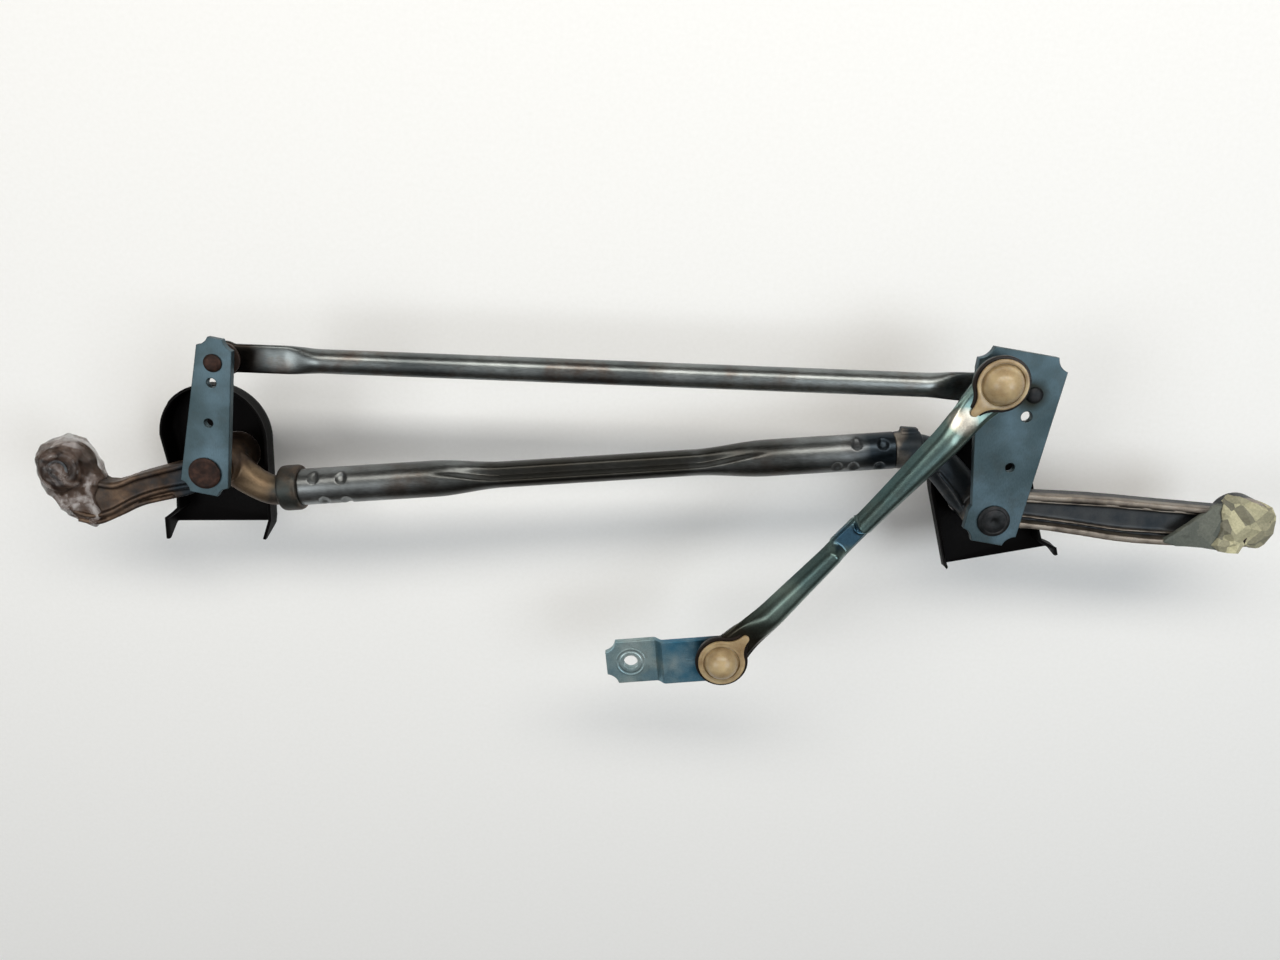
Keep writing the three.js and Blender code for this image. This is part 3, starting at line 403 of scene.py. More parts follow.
# %% [markdown]
# ## From drawn shape to finished piece
# Shapes are drawn as a bmesh in millimetres. One function moves a shape to its place, gives it
# smooth shading with sharp edges kept sharp, its material and its body, and hides the plain
# nodes that it stands for.

# %% Finishing a piece
def finished(name, bm, body, slot, material, nodes=(), sharp=35):
    bm.transform(to_metres)
    mesh = bpy.data.meshes.new(name)
    bm.to_mesh(mesh)
    bm.free()
    mesh.shade_smooth()
    mesh.set_sharp_from_angle(angle=math.radians(sharp))
    mesh.materials.append(material)
    piece = bpy.data.objects.new(name, mesh)
    scene.collection.objects.link(piece)
    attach(piece, body)
    if nodes:
        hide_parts(*nodes)
    print(name, "on", body, "with", len(mesh.polygons), "faces")
    return piece


def bridged(bm, rows, around=True):
    """Joins rows of vertices with quads."""
    for lower, upper in zip(rows, rows[1:]):
        count = len(lower)
        for i in range(count if around else count - 1):
            j = (i + 1) % count
            bm.faces.new((lower[i], lower[j], upper[j], upper[i]))


def facing_out(bm):
    bmesh.ops.recalc_face_normals(bm, faces=bm.faces)
    if bm.calc_volume(signed=True) < 0:
        bmesh.ops.reverse_faces(bm, faces=bm.faces)
    return bm


# %% [markdown]
# Turned pieces come off a lathe, so they are drawn as a profile of (radius, z) points turned
# about the Z axis. A profile either starts and ends on the axis or closes on itself.

# %% Lathe
def turned(profile, centre=(0, 0), sides=72):
    bm = bmesh.new()
    closed = profile[0][0] > 0 or profile[-1][0] > 0
    rows = []
    for radius, z in profile:
        if radius <= 0:
            rows.append([bm.verts.new((centre[0], centre[1], z))])
            continue
        rows.append([bm.verts.new((
            centre[0] + radius * math.cos(2 * math.pi * i / sides),
            centre[1] + radius * math.sin(2 * math.pi * i / sides), z)) for i in range(sides)])
    if closed:
        rows.append(rows[0])
    for lower, upper in zip(rows, rows[1:]):
        for i in range(sides):
            j = (i + 1) % sides
            corners = [lower[i % len(lower)], lower[j % len(lower)],
                       upper[j % len(upper)], upper[i % len(upper)]]
            bm.faces.new(list(dict.fromkeys(corners)))
    return facing_out(bm)


def cylinder(radius, low, high, centre=(0, 0), sides=72):
    return turned([(0, low), (radius, low), (radius, high), (0, high)], centre, sides)


def rounded_profile(corners, radius, steps=4):
    """The profile with every corner off the axis rounded by up to this radius."""
    points = []
    for i, corner in enumerate(corners):
        corner = Vector(corner)
        before, after = Vector(corners[i - 1]), Vector(corners[(i + 1) % len(corners)])
        if corner.x <= 0:
            points.append(tuple(corner))
            continue
        reach = min(radius, (before - corner).length * 0.45, (after - corner).length * 0.45)
        first = corner + (before - corner).normalized() * reach
        last = corner + (after - corner).normalized() * reach
        for step in range(steps + 1):
            t = step / steps
            points.append(tuple(
                (1 - t) ** 2 * first + 2 * t * (1 - t) * corner + t * t * last))
    return points


def ball_arc(radius, z, start, end, steps=14):
    """Profile points of a circle about (0, z), angles in degrees up from the +radius axis."""
    turns = [math.radians(start + (end - start) * i / steps) for i in range(steps + 1)]
    return [(max(0.0, radius * math.cos(a)), z + radius * math.sin(a)) for a in turns]


# %% [markdown]
# Stamped plates have a rolled edge on the punch side and a slightly sharp one on the other. A
# plate is drawn as its outline with holes, both moved in a little at the top and bottom face,
# which gives the small radius that catches the light.

# %% Plate with rounded edges
def shifted(ring, distance):
    """A ring of (x, y) points moved outwards, if it runs anticlockwise, by a distance."""
    ring = np.array(ring, float)
    before, after = np.roll(ring, 1, axis=0), np.roll(ring, -1, axis=0)
    first, second = ring - before, after - ring
    normals = []
    for edge in (first, second):
        edge = edge / np.maximum(np.linalg.norm(edge, axis=1, keepdims=True), 1e-9)
        normals.append(np.column_stack((edge[:, 1], -edge[:, 0])))
    total = normals[0] + normals[1]
    length = np.maximum(np.linalg.norm(total, axis=1, keepdims=True), 0.8)
    return ring + distance * 2 * total / length ** 2


def polar(radius, degrees):
    return radius * math.cos(math.radians(degrees)), radius * math.sin(math.radians(degrees))


def circle(x, y, radius, count=40):
    return [(x + radius * math.cos(2 * math.pi * i / count),
             y + radius * math.sin(2 * math.pi * i / count)) for i in range(count)]


def plate(outline, low, high, holes=(), edge=0.4):
    """A flat piece with rounded edges. Outline and holes run anticlockwise."""
    bm = bmesh.new()
    steps = [(0, 1), (0.3, 0.3), (1, 0)]
    levels = [(low + rise * edge, back) for rise, back in steps]
    levels += [(high - rise * edge, back) for rise, back in reversed(steps)]
    rims = {low: [], high: []}
    for ring, inward in [(outline, -1)] + [(hole, 1) for hole in holes]:
        rows = [[bm.verts.new((x, y, z)) for x, y in shifted(ring, inward * back * edge)]
                for z, back in levels]
        bridged(bm, rows)
        for z, row in ((low, rows[0]), (high, rows[-1])):
            rims[z] += [bm.edges.get((row[i - 1], row[i])) for i in range(len(row))]
    for z, rim in rims.items():
        outward = (0, 0, 1 if z == high else -1)
        bmesh.ops.triangle_fill(bm, use_beauty=True, edges=rim, normal=outward)
    return facing_out(bm)


def joined(*shapes):
    """Several shapes as one."""
    whole = bmesh.new()
    for shape in shapes:
        part = bpy.data.meshes.new("part")
        shape.to_mesh(part)
        shape.free()
        whole.from_mesh(part)
        bpy.data.meshes.remove(part)
    return whole


def turned_about(bm, degrees, centre=(0, 0, 0), axis="Z"):
    """Turns a shape about an axis and then moves it from the origin to the centre."""
    bm.transform(Matrix.Translation(centre) @ Matrix.Rotation(math.radians(degrees), 4, axis))
    return bm


# %% [markdown]
# Castings and mouldings have no sharp inner corners: metal or plastic flows round them. Their
# overlapping blocks are wrapped in one voxel skin, whose corners are then relaxed into fillets.
# Bores are cut afterwards with a Boolean, as the real ones are reamed after casting.

# %% Skin and bores
def object_of(bm, name="work"):
    mesh = bpy.data.meshes.new(name)
    bm.to_mesh(mesh)
    bm.free()
    made = bpy.data.objects.new(name, mesh)
    scene.collection.objects.link(made)
    return made


def settled(made):
    """The evaluated shape of an object as a bmesh; the object itself is removed."""
    evaluated = made.evaluated_get(bpy.context.evaluated_depsgraph_get())
    result = bpy.data.meshes.new_from_object(evaluated)
    bm = bmesh.new()
    bm.from_mesh(result)
    bpy.data.objects.remove(made)
    bpy.data.meshes.remove(result)
    return bm


def skin(bm, voxel, passes):
    made = object_of(bm)
    remesh = made.modifiers.new("skin", "REMESH")
    remesh.mode, remesh.voxel_size = "VOXEL", voxel
    relax = made.modifiers.new("relax", "SMOOTH")
    relax.factor, relax.iterations = 0.5, passes
    return settled(made)


def bored(bm, *tools):
    made = object_of(bm)
    cutters = [object_of(tool, "cutter") for tool in tools]
    for cutter in cutters:
        cut = made.modifiers.new("bore", "BOOLEAN")
        cut.operation, cut.solver, cut.object = "DIFFERENCE", "EXACT", cutter
    result = settled(made)
    for cutter in cutters:
        bpy.data.objects.remove(cutter)
    return result


def spline(points, count=12):
    """A smooth run of points through the given ones (Catmull-Rom), ends included."""
    given = [Vector(p) for p in points]
    padded = [2 * given[0] - given[1], *given, 2 * given[-1] - given[-2]]
    run = []
    for a, b, c, d in zip(padded, padded[1:], padded[2:], padded[3:]):
        for i in range(count):
            t = i / count
            run.append(0.5 * (2 * b + (c - a) * t + (2 * a - 5 * b + 4 * c - d) * t ** 2
                              + (3 * b - a - 3 * c + d) * t ** 3))
    return [tuple(p) for p in run + [given[-1]]]


def swept(path, section, sides=32):
    """A closed bar along a level path of (x, y, z) points. section(place, angle) gives the
    half sizes (across, up) at a place from 0 to 1 along it."""
    bm = bmesh.new()
    path = [Vector(p) for p in path]
    rows = []
    for i, centre in enumerate(path):
        ahead = (path[min(i + 1, len(path) - 1)] - path[max(i - 1, 0)]).normalized()
        side = Vector((-ahead.y, ahead.x, 0)).normalized()
        row = []
        for k in range(sides):
            across, rise = section(i / (len(path) - 1), 2 * math.pi * k / sides)
            row.append(bm.verts.new(centre + side * across + Vector((0, 0, rise))))
        rows.append(row)
    bridged(bm, rows)
    bm.faces.new(rows[0])
    bm.faces.new(rows[-1])
    return facing_out(bm)


def smooth(value, start, end):
    """0 before start, 1 after end, and a smooth step between."""
    t = min(1.0, max(0.0, (value - start) / (end - start)))
    return t * t * (3 - 2 * t)


# %% [markdown]
# ## Levers and crank
# The levers and the crank are blanked from 4.5 mm sheet. Round bites out of the corners are
# where the strip was cut between two parts in the press tool. A loop over the corners draws the
# straight edges and the bites in one outline.

# %% Lever plates
def bitten(corners, steps=8):
    """An outline from (x, y, bite) corners, with a shallow bite of that length at each."""
    outline = []
    for i, (x, y, bite) in enumerate(corners):
        corner = Vector((x, y))
        beside = (corners[i - 1], corners[(i + 1) % len(corners)])
        ways = [(Vector(other[:2]) - corner).normalized() for other in beside]
        first, last = (corner + way * bite for way in ways)
        dip = (first + last) / 2 + (ways[0] + ways[1]) * bite * 0.3
        for step in range(steps + 1 if bite else 1):
            t = step / steps
            outline.append(tuple((1 - t) ** 2 * first + 2 * t * (1 - t) * dip + t * t * last))
    return outline


LEFT_LEVER_TURN, RIGHT_LEVER_TURN = 82, 83.5
SHAFT_R, TENON_R, DRIVE_TENON_R = 6, 3.2, 4


def along_lever(point, pivot, turn):
    """A point as seen from a pivot, with X along its lever."""
    x, y = point.x - pivot.x, point.y - pivot.y
    c, s = math.cos(math.radians(turn)), math.sin(math.radians(turn))
    return x * c + y * s, y * c - x * s


left_corners = [(-13, -14, 6), (79, -9.6, 5.5), (79, 9.6, 5.5), (-13, 14, 6)]
rivet = along_lever(LEFT_ROD_BALL, Vector(), LEFT_LEVER_TURN)
left_plate = plate(bitten(left_corners), LEVER_LOW, LEVER_TOP, holes=[
    circle(0, 0, SHAFT_R + GAP), circle(*rivet, TENON_R + GAP),
    circle(53.5, 0, 2.7), circle(30, 0, 2.5)])
finished("left_lever_stamping", turned_about(left_plate, LEFT_LEVER_TURN), "left_lever",
         "zinc_plated_steel", zinc_plate, ["left_lever_plate"], sharp=20)

right_corners = [(-14, -15.5, 6.5), (97.3, -16.5, 7), (97.3, 34, 7.5), (84, 33.2, 0),
                 (7, 14.4, 0), (4, 15.5, 0), (-14, 15.5, 6.5)]
rod_hole = along_lever(RIGHT_ROD_BALL, RIGHT_PIVOT, RIGHT_LEVER_TURN)
drive_hole = along_lever(DRIVE_BALL, RIGHT_PIVOT, RIGHT_LEVER_TURN)
right_plate = plate(bitten(right_corners), LEVER_LOW, LEVER_TOP, holes=[
    circle(0, 0, SHAFT_R + GAP), circle(*rod_hole, TENON_R + GAP),
    circle(*drive_hole, DRIVE_TENON_R + GAP), circle(62.3, -1.2, 3), circle(32.3, -0.5, 2.6)])
finished("right_lever_stamping", turned_about(right_plate, RIGHT_LEVER_TURN, RIGHT_PIVOT),
         "right_lever", "zinc_plated_steel", zinc_plate, ["right_lever_plate"], sharp=20)

# %% [markdown]
# The crank has a joggle: a step of 5 mm between the end on the motor shaft and the end with the
# ball. A plate has no edges across it to bend at, so it is first cut along a few lines and the
# far side then rises smoothly. A raised ring is coined round the shaft hole.

# %% Crank
CRANK_TURN, CRANK_HALF, JOGGLE, HUB_HOLE = 8.5, 13.9, 5, 4.25
BEND = (15, 20.5)


def stepped(x):
    return JOGGLE * (smooth(x, *BEND) - 1)


def crank_shape():
    bite = 6.5
    outline = [(54 + x, y) for x, y in (polar(CRANK_HALF, a) for a in range(-90, 91, 6))]
    corners = [(54, CRANK_HALF, 0), (-15, CRANK_HALF, bite), (-15, -CRANK_HALF, bite),
               (54, -CRANK_HALF, 0)]
    outline += bitten(corners)[1:-1]
    ball = along_lever(CRANK_BALL, MOTOR_HUB, CRANK_TURN)
    holes = [circle(*ball, DRIVE_TENON_R + GAP), circle(0, 0, HUB_HOLE)]
    blank = plate(outline, LEVER_LOW, LEVER_TOP, holes)
    cuts = 9
    for i in range(cuts):
        x = mix(*BEND, i / (cuts - 1))
        everything = blank.verts[:] + blank.edges[:] + blank.faces[:]
        bmesh.ops.bisect_plane(blank, geom=everything, plane_co=(x, 0, 0), plane_no=(1, 0, 0))
    for vertex in blank.verts:
        vertex.co.z += stepped(vertex.co.x)
    low_top = LEVER_TOP - JOGGLE
    coined = turned(rounded_profile(
        [(HUB_HOLE + 0.3, low_top - 1), (HUB_HOLE + 0.3, low_top + 0.35), (6.6, low_top + 0.35),
         (7.0, low_top + 0.1), (7.9, low_top + 0.1), (8.3, low_top + 0.3), (9.3, low_top + 0.3),
         (9.6, low_top - 1)], 0.25))
    bars = [plate([(34, y), (39, y), (39, y + 0.9), (34, y + 0.9)], LEVER_TOP - 1,
                  LEVER_TOP + 0.2, edge=0.15) for y in (-1.6, 0.8)]
    return joined(blank, coined, *bars)


finished("crank_stamping", turned_about(crank_shape(), CRANK_TURN, (*MOTOR_HUB.xy, 0)),
         "crank", "zinc_plated_steel", crank_plate_zinc, ["motor_crank"], sharp=20)

# %% [markdown]
# ## Frame tube
# The frame is a 22 mm tube. Its middle is pressed with a long V, which makes it narrow and
# stiff, and both ends are crimped into the housings' spigots with rows of round dimples. The
# tube is drawn ring by ring, so one rule can hold the press and the dimples.

# %% Frame tube
TUBE_START, TUBE_END = Vector((47, -13.5, 0)), Vector((397.5, 31.6, 0))
TUBE_R, TUBE_WALL = 11, 2
PRESS_IN, PRESS_OUT = (80, 122), (236, 280)
CREASE_DEPTH, CREASE_UPPER, CREASE_LOWER, PRESSED_HALF = 4.6, 5.0, 1.5, 7.6
DIMPLES = [(55.7, -4.9), (72.4, -3.9), (62.3, -18.9), (75.5, -18.1), (374.6, 36.0), (389.7, 36.9),
           (364.6, 22.0), (374.0, 22.6), (389.1, 23.6)]
DIMPLE_R, DIMPLE_DEPTH = 3.5, 1.7
tube_axis = (TUBE_END - TUBE_START).normalized()
tube_side = Vector((-tube_axis.y, tube_axis.x, 0))
TUBE_LENGTH = (TUBE_END - TUBE_START).length


def tube_point(along, angle, inset):
    press = smooth(along, *PRESS_IN) - smooth(along, *PRESS_OUT)
    across = (mix(TUBE_R, PRESSED_HALF, press) - inset) * math.cos(angle)
    rise = (TUBE_R - inset) * math.sin(angle)
    if rise > 0:
        from_fold = across - 1.4 - 5 * (1 - press)
        width = CREASE_UPPER if from_fold > 0 else CREASE_LOWER
        rise -= CREASE_DEPTH * math.sqrt(press) * math.exp(-(from_fold / width) ** 2)
    point = TUBE_START + tube_axis * along + tube_side * across + Vector((0, 0, rise))
    if inset == 0 and rise > 0 and (along < 35 or along > TUBE_LENGTH - 40):
        inward = -(tube_side * across + Vector((0, 0, rise))).normalized()
        for x, y in DIMPLES:
            far = Vector((x - point.x, y - point.y)).length
            if far < DIMPLE_R:
                point += inward * DIMPLE_DEPTH * (1 - (far / DIMPLE_R) ** 4) ** 2
    return point


def frame_tube(sides=112):
    bm = bmesh.new()
    outer = list(np.arange(0, 36, 0.7)) + list(np.arange(36, TUBE_LENGTH - 40, 1.6))
    outer += list(np.arange(TUBE_LENGTH - 40, TUBE_LENGTH - 0.3, 0.7)) + [TUBE_LENGTH]
    inner = list(np.arange(0, TUBE_LENGTH, 6)) + [TUBE_LENGTH]
    rows = [[bm.verts.new(tube_point(along, 2 * math.pi * k / sides, inset)) for k in range(sides)]
            for inset, places in ((0, outer), (TUBE_WALL, reversed(inner))) for along in places]
    bridged(bm, rows + [rows[0]])
    return facing_out(bm)


finished("pressed_frame_tube", frame_tube(), "frame", "steel_tube", frame_zinc, ["frame_tube"])

# %% [markdown]
# ## Coupling rod
# The rod between the levers is a 14 mm tube whose ends are pressed flat around the ball
# sockets. One sweep makes it: the outline widens to a round pad at each ball, and the height
# falls from the tube to the flat.

# %% Coupling rod
ROD_R, ROD_FLAT, ROD_HALF_FLAT, ROD_PAD_R, ROD_SOCKET_R = 7, 2.5, 8.2, 9.8, 7.1
FLAT_TO_ROUND = (34, 56)
rod_vector = (LEFT_ROD_BALL - RIGHT_ROD_BALL) * Vector((1, 1, 0))
ROD_LENGTH = rod_vector.length
ROD_TURN = math.degrees(math.atan2(rod_vector.y, rod_vector.x))


def rod_section(x):
    """Half the width and half the height of the rod at x from the right ball."""
    from_end = min(x, ROD_LENGTH - x)
    round_here = smooth(from_end, *FLAT_TO_ROUND)
    width = mix(ROD_HALF_FLAT, ROD_R, round_here)
    pad = math.sqrt(max(0.0, ROD_PAD_R ** 2 - from_end ** 2)) if from_end < ROD_PAD_R else 0.0
    if from_end < 0:
        width = pad
    return max(width, pad), mix(ROD_FLAT, ROD_R, round_here)


def coupling_rod(sides=56):
    bm = bmesh.new()
    places = [-ROD_PAD_R * math.cos(math.radians(a)) for a in range(4, 90, 6)]
    places += list(np.arange(0, 70, 1.0)) + list(np.arange(70, ROD_LENGTH - 70, 4.0))
    places += list(np.arange(ROD_LENGTH - 70, ROD_LENGTH, 1.0))
    places += [ROD_LENGTH - p for p in reversed(places[:15])]
    rows = []
    for x in places:
        width, height = rod_section(x)
        squareness = mix(0.55, 1.0, smooth(min(x, ROD_LENGTH - x), *FLAT_TO_ROUND))
        row = []
        for k in range(sides):
            c, s = math.cos(2 * math.pi * k / sides), math.sin(2 * math.pi * k / sides)
            rise = height * math.copysign(abs(s) ** squareness, s)
            row.append(bm.verts.new((x, width * c, rise)))
        rows.append(row)
    bridged(bm, rows)
    bm.faces.new(rows[0])
    bm.faces.new(rows[-1])
    facing_out(bm)
    bores = [cylinder(ROD_SOCKET_R + GAP, -9, 9, (x, 0), 48) for x in (0, ROD_LENGTH)]
    return turned_about(bored(bm, *bores), ROD_TURN, (*RIGHT_ROD_BALL.xy, ROD_LEVEL))


finished("coupling_rod_tube", coupling_rod(), "connecting_rod", "steel_tube", rod_zinc,
         ["connecting_rod"])

# %% [markdown]
# ## Drive link
# The link to the motor is a pressed channel: flat pads around the nylon sockets, and between
# them two long round beads with a short flat bridge. The upper bead ends in a blunt nose over
# a small lip, and the lower one rises gently. The link is drawn as a height over its plan and
# then given the thickness of its sheet.

# %% Drive link
LINK_TOP, LINK_SHEET, LINK_PAD_R, DRIVE_SOCKET_R = 36.5, 2, 15.2, 11.3
BEAD_RISE, LINK_LEAN = 7, 1.2  # the body lies a little to one side of the line of balls
link_vector = (CRANK_BALL - DRIVE_BALL) * Vector((1, 1, 0))
LINK_LENGTH = link_vector.length
LINK_TURN = math.degrees(math.atan2(link_vector.y, link_vector.x))


def link_half_width(x):
    """Half the width of the link: round pads that run down to a slim body."""
    from_end = min(x, LINK_LENGTH - x)
    pad = math.sqrt(max(0.0, LINK_PAD_R ** 2 - from_end ** 2))
    if from_end < 0:
        return pad
    body = 6.4 + (2.6 if x < 112 else 2.0) * smooth(abs(x - 112), 0, 85)
    flare = body + 5.8 * math.exp(-from_end / 12)
    if from_end < 4:
        return pad
    return max(pad, min(flare, LINK_PAD_R))


def bead(x, across):
    """How far the beads rise at a point, from 0 to 1."""
    side = min(1.0, abs(across) / link_half_width(x))
    nose = 111 - 5 * side ** 2
    upper = smooth(x, 17, 42) * (1 - smooth(x, nose - 2, nose))
    foot = 123 + 2 * side ** 2
    lower = smooth(x, foot, foot + 7) * (1 - smooth(x, LINK_LENGTH - 42, LINK_LENGTH - 17))
    lip = 0.1 * math.exp(-((x - nose - 1) / 0.7) ** 2)
    return max(upper, lower, lip)


def link_height(x, across):
    side = min(1.0, abs(across) / link_half_width(x))
    rise = bead(x, across)
    edge_drop = 1.8 * smooth(side, 0.7, 1.0)
    return LINK_TOP + BEAD_RISE * rise * (1 - side ** 2.4) - edge_drop * (1 - 0.4 * rise)


def drive_link(columns=44):
    bm = bmesh.new()
    places = [-LINK_PAD_R * math.cos(math.radians(a)) for a in range(3, 90, 4)]
    ends = list(places)
    for start, end, step in ((0, 102, 1.0), (102, 134, 0.4), (134, LINK_LENGTH, 1.0)):
        places += list(np.arange(start, end, step))
    places += [LINK_LENGTH - p for p in reversed(ends)]
    rows = []
    for x in places:
        half = link_half_width(x)
        lean = LINK_LEAN * smooth(min(x, LINK_LENGTH - x), 18, 45)
        row = []
        for k in range(columns + 1):
            across = -half * math.cos(math.pi * k / columns)
            row.append(bm.verts.new((x, across + lean, link_height(x, across))))
        rows.append(row)
    bridged(bm, rows, around=False)
    bmesh.ops.recalc_face_normals(bm, faces=bm.faces)
    if sum(face.normal.z for face in bm.faces) < 0:
        bmesh.ops.reverse_faces(bm, faces=bm.faces)
    made = object_of(bm)
    wall = made.modifiers.new("sheet", "SOLIDIFY")
    wall.thickness, wall.offset, wall.use_even_offset = LINK_SHEET, -1, True
    bores = [cylinder(DRIVE_SOCKET_R + GAP, 20, 60, (x, 0), 64) for x in (0, LINK_LENGTH)]
    return turned_about(bored(settled(made), *bores), LINK_TURN, (*DRIVE_BALL.xy, 0))


finished("pressed_drive_link", drive_link(), "drive_link", "zinc_plated_steel", link_zinc,
         ["drive_link"], sharp=50)

# %% [markdown]
# ## Pivot housings
# Each housing is one aluminium casting: a barrel for the shaft, an arm out to a mounting eye, a
# curved neck, and a spigot inside the tube. Blocks for these parts overlap and get one cast
# skin. The barrel and the eye are then bored.

# %% Parts that both housings share
BARREL_R, BUSH_R, EYE_WALL, EYE_LOW, EYE_HIGH = 12.5, 8.2, 4, -10, 8
SPIGOT_R = TUBE_R - TUBE_WALL - GAP
LEFT_EYE_R, RIGHT_EYE_R = 13.2, 14.5


def rod_along(profile, place):
    """A turned piece laid along the tube's axis from a place."""
    bm = turned(profile)
    bm.transform(Matrix.Translation(place) @ tube_axis.to_track_quat("Z", "Y").to_matrix().to_4x4())
    return bm


def barrel(centre=(0, 0)):
    return turned([(0, BARREL_LOW), (BARREL_R - 0.6, BARREL_LOW), (BARREL_R, BARREL_LOW + 0.8),
                   (BARREL_R, 8), (BARREL_R - 0.4, BARREL_TOP), (0, BARREL_TOP)], centre)


def bore(radius, low, high, centre):
    return cylinder(radius, low - 1, high + 1, centre)


def drawn(*runs):
    """An outline from smooth runs of (x, y) points."""
    return [point[:2] for run in runs for point in spline([(x, y, 0) for x, y in run], 6)]


def strip(points, half_width, low, high):
    """A rib that follows a level path of (x, y) points."""
    run = np.array(drawn(points))
    ahead = np.gradient(run, axis=0)
    ahead /= np.linalg.norm(ahead, axis=1, keepdims=True)
    side = np.column_stack((-ahead[:, 1], ahead[:, 0])) * half_width
    outline = [tuple(p) for p in np.vstack((run - side, (run + side)[::-1]))]
    return plate(outline, low, high, edge=0.2)


# %% Left housing
left_arm = drawn(
    [(-4, 10), (-20, 0), (-36, -5.5), (-52, -11), (-66, -16.5), (-75, -16), (-82, -9)],
    [(-108, -12), (-104, -25), (-97, -34.5), (-88.5, -42.5), (-78, -43.8), (-64, -37.5),
     (-50, -30.2), (-38, -26), (-22, -22), (-4, -12)])[::-1]
neck_path = spline([(-2, 1, 0), (6, -4, 0), (17, -12, 0), (29, -16.5, 0), (41, -14.5, 0)])
LEFT_RIB = [(-92, -36), (-82, -38.5), (-70, -35.5), (-54, -26.5), (-38, -20), (-14, -14)]
LEFT_EDGE = [(-10, 3), (-24, -3.5), (-38, -8), (-53, -13), (-66, -18.6), (-78, -18)]
LEFT_RIM = [(-90, -41.5), (-78, -42.6), (-64, -36.3), (-50, -28.9), (-30, -22.8)]
LEFT_COLLAR = [(0, -12.5), (12.6, -12.5), (13.5, -11.6), (13.8, -9.5), (13.8, -2.2), (13, -GAP),
               (0, -GAP)]
left_blocks = joined(
    barrel(), plate(left_arm, -6, 4), strip(LEFT_RIB, 1.4, 0, 6.6),
    strip(LEFT_EDGE, 1.3, 0, 5.6), strip(LEFT_RIM, 1.3, 0, 5.8),
    cylinder(LEFT_EYE_R, EYE_LOW, EYE_HIGH, LEFT_EYE.xy),
    swept(neck_path, lambda t, a: (mix(12.4, 9, smooth(t, 0, 0.6)) * math.cos(a), 9 * math.sin(a))),
    rod_along(LEFT_COLLAR, TUBE_START),
    rod_along([(0, -6), (SPIGOT_R, -6), (SPIGOT_R, 40), (0, 40)], TUBE_START))
left_casting = bored(
    skin(left_blocks, 0.6, 5), bore(BUSH_R + GAP, BARREL_LOW, BARREL_TOP, (0, 0)),
    bore(LEFT_EYE_R - EYE_WALL, EYE_LOW, EYE_HIGH, LEFT_EYE.xy))
finished("left_housing_casting", left_casting, "frame", "cast_aluminium", brown_casting,
         ["left_pivot_housing"])

# %% Right housing
right_arm = drawn(
    [(455, 11), (482, 11.2), (522, 11.4), (560, 10.2), (600, 9)],
    [(600, -12.5), (580, -14.6), (560, -15.2), (537, -14.6), (510, -12), (482, -10),
     (455, -12)])[::-1]
right_pocket = drawn(
    [(472, 7.6), (522, 7.8), (560, 6.8), (592, 5.8)],
    [(592, -9.4), (575, -11.2), (560, -11.6), (537, -10.8), (510, -8.2), (472, -6)])[::-1]
right_neck = spline([(402, 32.2, 0), (416, 31.5, 0), (430, 22, 0), (443, 9, 0), (456, -1, 0)])
pivot = RIGHT_PIVOT.xy
inner_rails = [
    strip([(478, 5.4), (522, 5.7), (560, 4.7), (588, 3.9)], 0.7, -2, 2.4),
    strip([(478, -3.6), (510, -5.9), (540, -8.5), (575, -8.9)], 0.7, -2, 2.4)]
right_blocks = joined(
    barrel(pivot), plate(right_arm, -7, 7, [right_pocket]), plate(right_arm, -3, 0), *inner_rails,
    cylinder(RIGHT_EYE_R, EYE_LOW, EYE_HIGH, RIGHT_EYE.xy),
    swept(right_neck, lambda t, a: ((9.6 + 2 * t) * math.cos(a), 8.5 * math.sin(a))),
    strip([(424, 22), (437, 8), (448, -8)], 0.9, 0, 9.6),
    rod_along([(0, GAP), (10.6, GAP), (11, 2), (10.6, 16), (0, 18)], TUBE_END),
    rod_along([(0, -40), (SPIGOT_R, -40), (SPIGOT_R, 6), (0, 6)], TUBE_END),
    plate([(400.6, 38.4), (410.6, 38.4), (410.6, 46), (400.6, 46)], -3, 3, edge=0.6))
right_casting = bored(
    skin(right_blocks, 0.6, 4), bore(BUSH_R + GAP, BARREL_LOW, BARREL_TOP, pivot),
    bore(RIGHT_EYE_R - EYE_WALL, EYE_LOW, EYE_HIGH, RIGHT_EYE.xy))
finished("right_housing_casting", right_casting, "frame", "cast_aluminium", grey_casting,
         ["right_pivot_housing"])

# %% [markdown]
# ## Rain shields
# A D-shaped cup of thin plastic keeps water out of each pivot. Its wall rises towards the
# levers, and where the straight side is open the wall ends in two pointed ears. The floor and
# the wall are one sheet, drawn as rows along the D at rising levels and then given its thickness.

# %% Rain shield
SHIELD_FLOOR, SHIELD_RIM, SHIELD_WALL = -24, -9.6, 1.8
EAR_SLOPE = 3.5


def shield_rim(wall, radius, lower, lean):
    """The D from the foot of the far wall, over the round top, to the foot of the straight
    wall; lower gives how low each foot reaches, and lean how far the last one leans in."""
    centre_x, centre_y = wall - radius, 11
    run = [(-44.5, lower[0]), (-44.5, -43), (-40, -39.5), (-36.4, -36), (-35.4, -27)]
    run += [(centre_x + x, centre_y + y) for x, y in (polar(radius, a) for a in range(180, -1, -5))]
    return run + [(wall, -20), (wall, -40), (wall - lean, lower[1])]


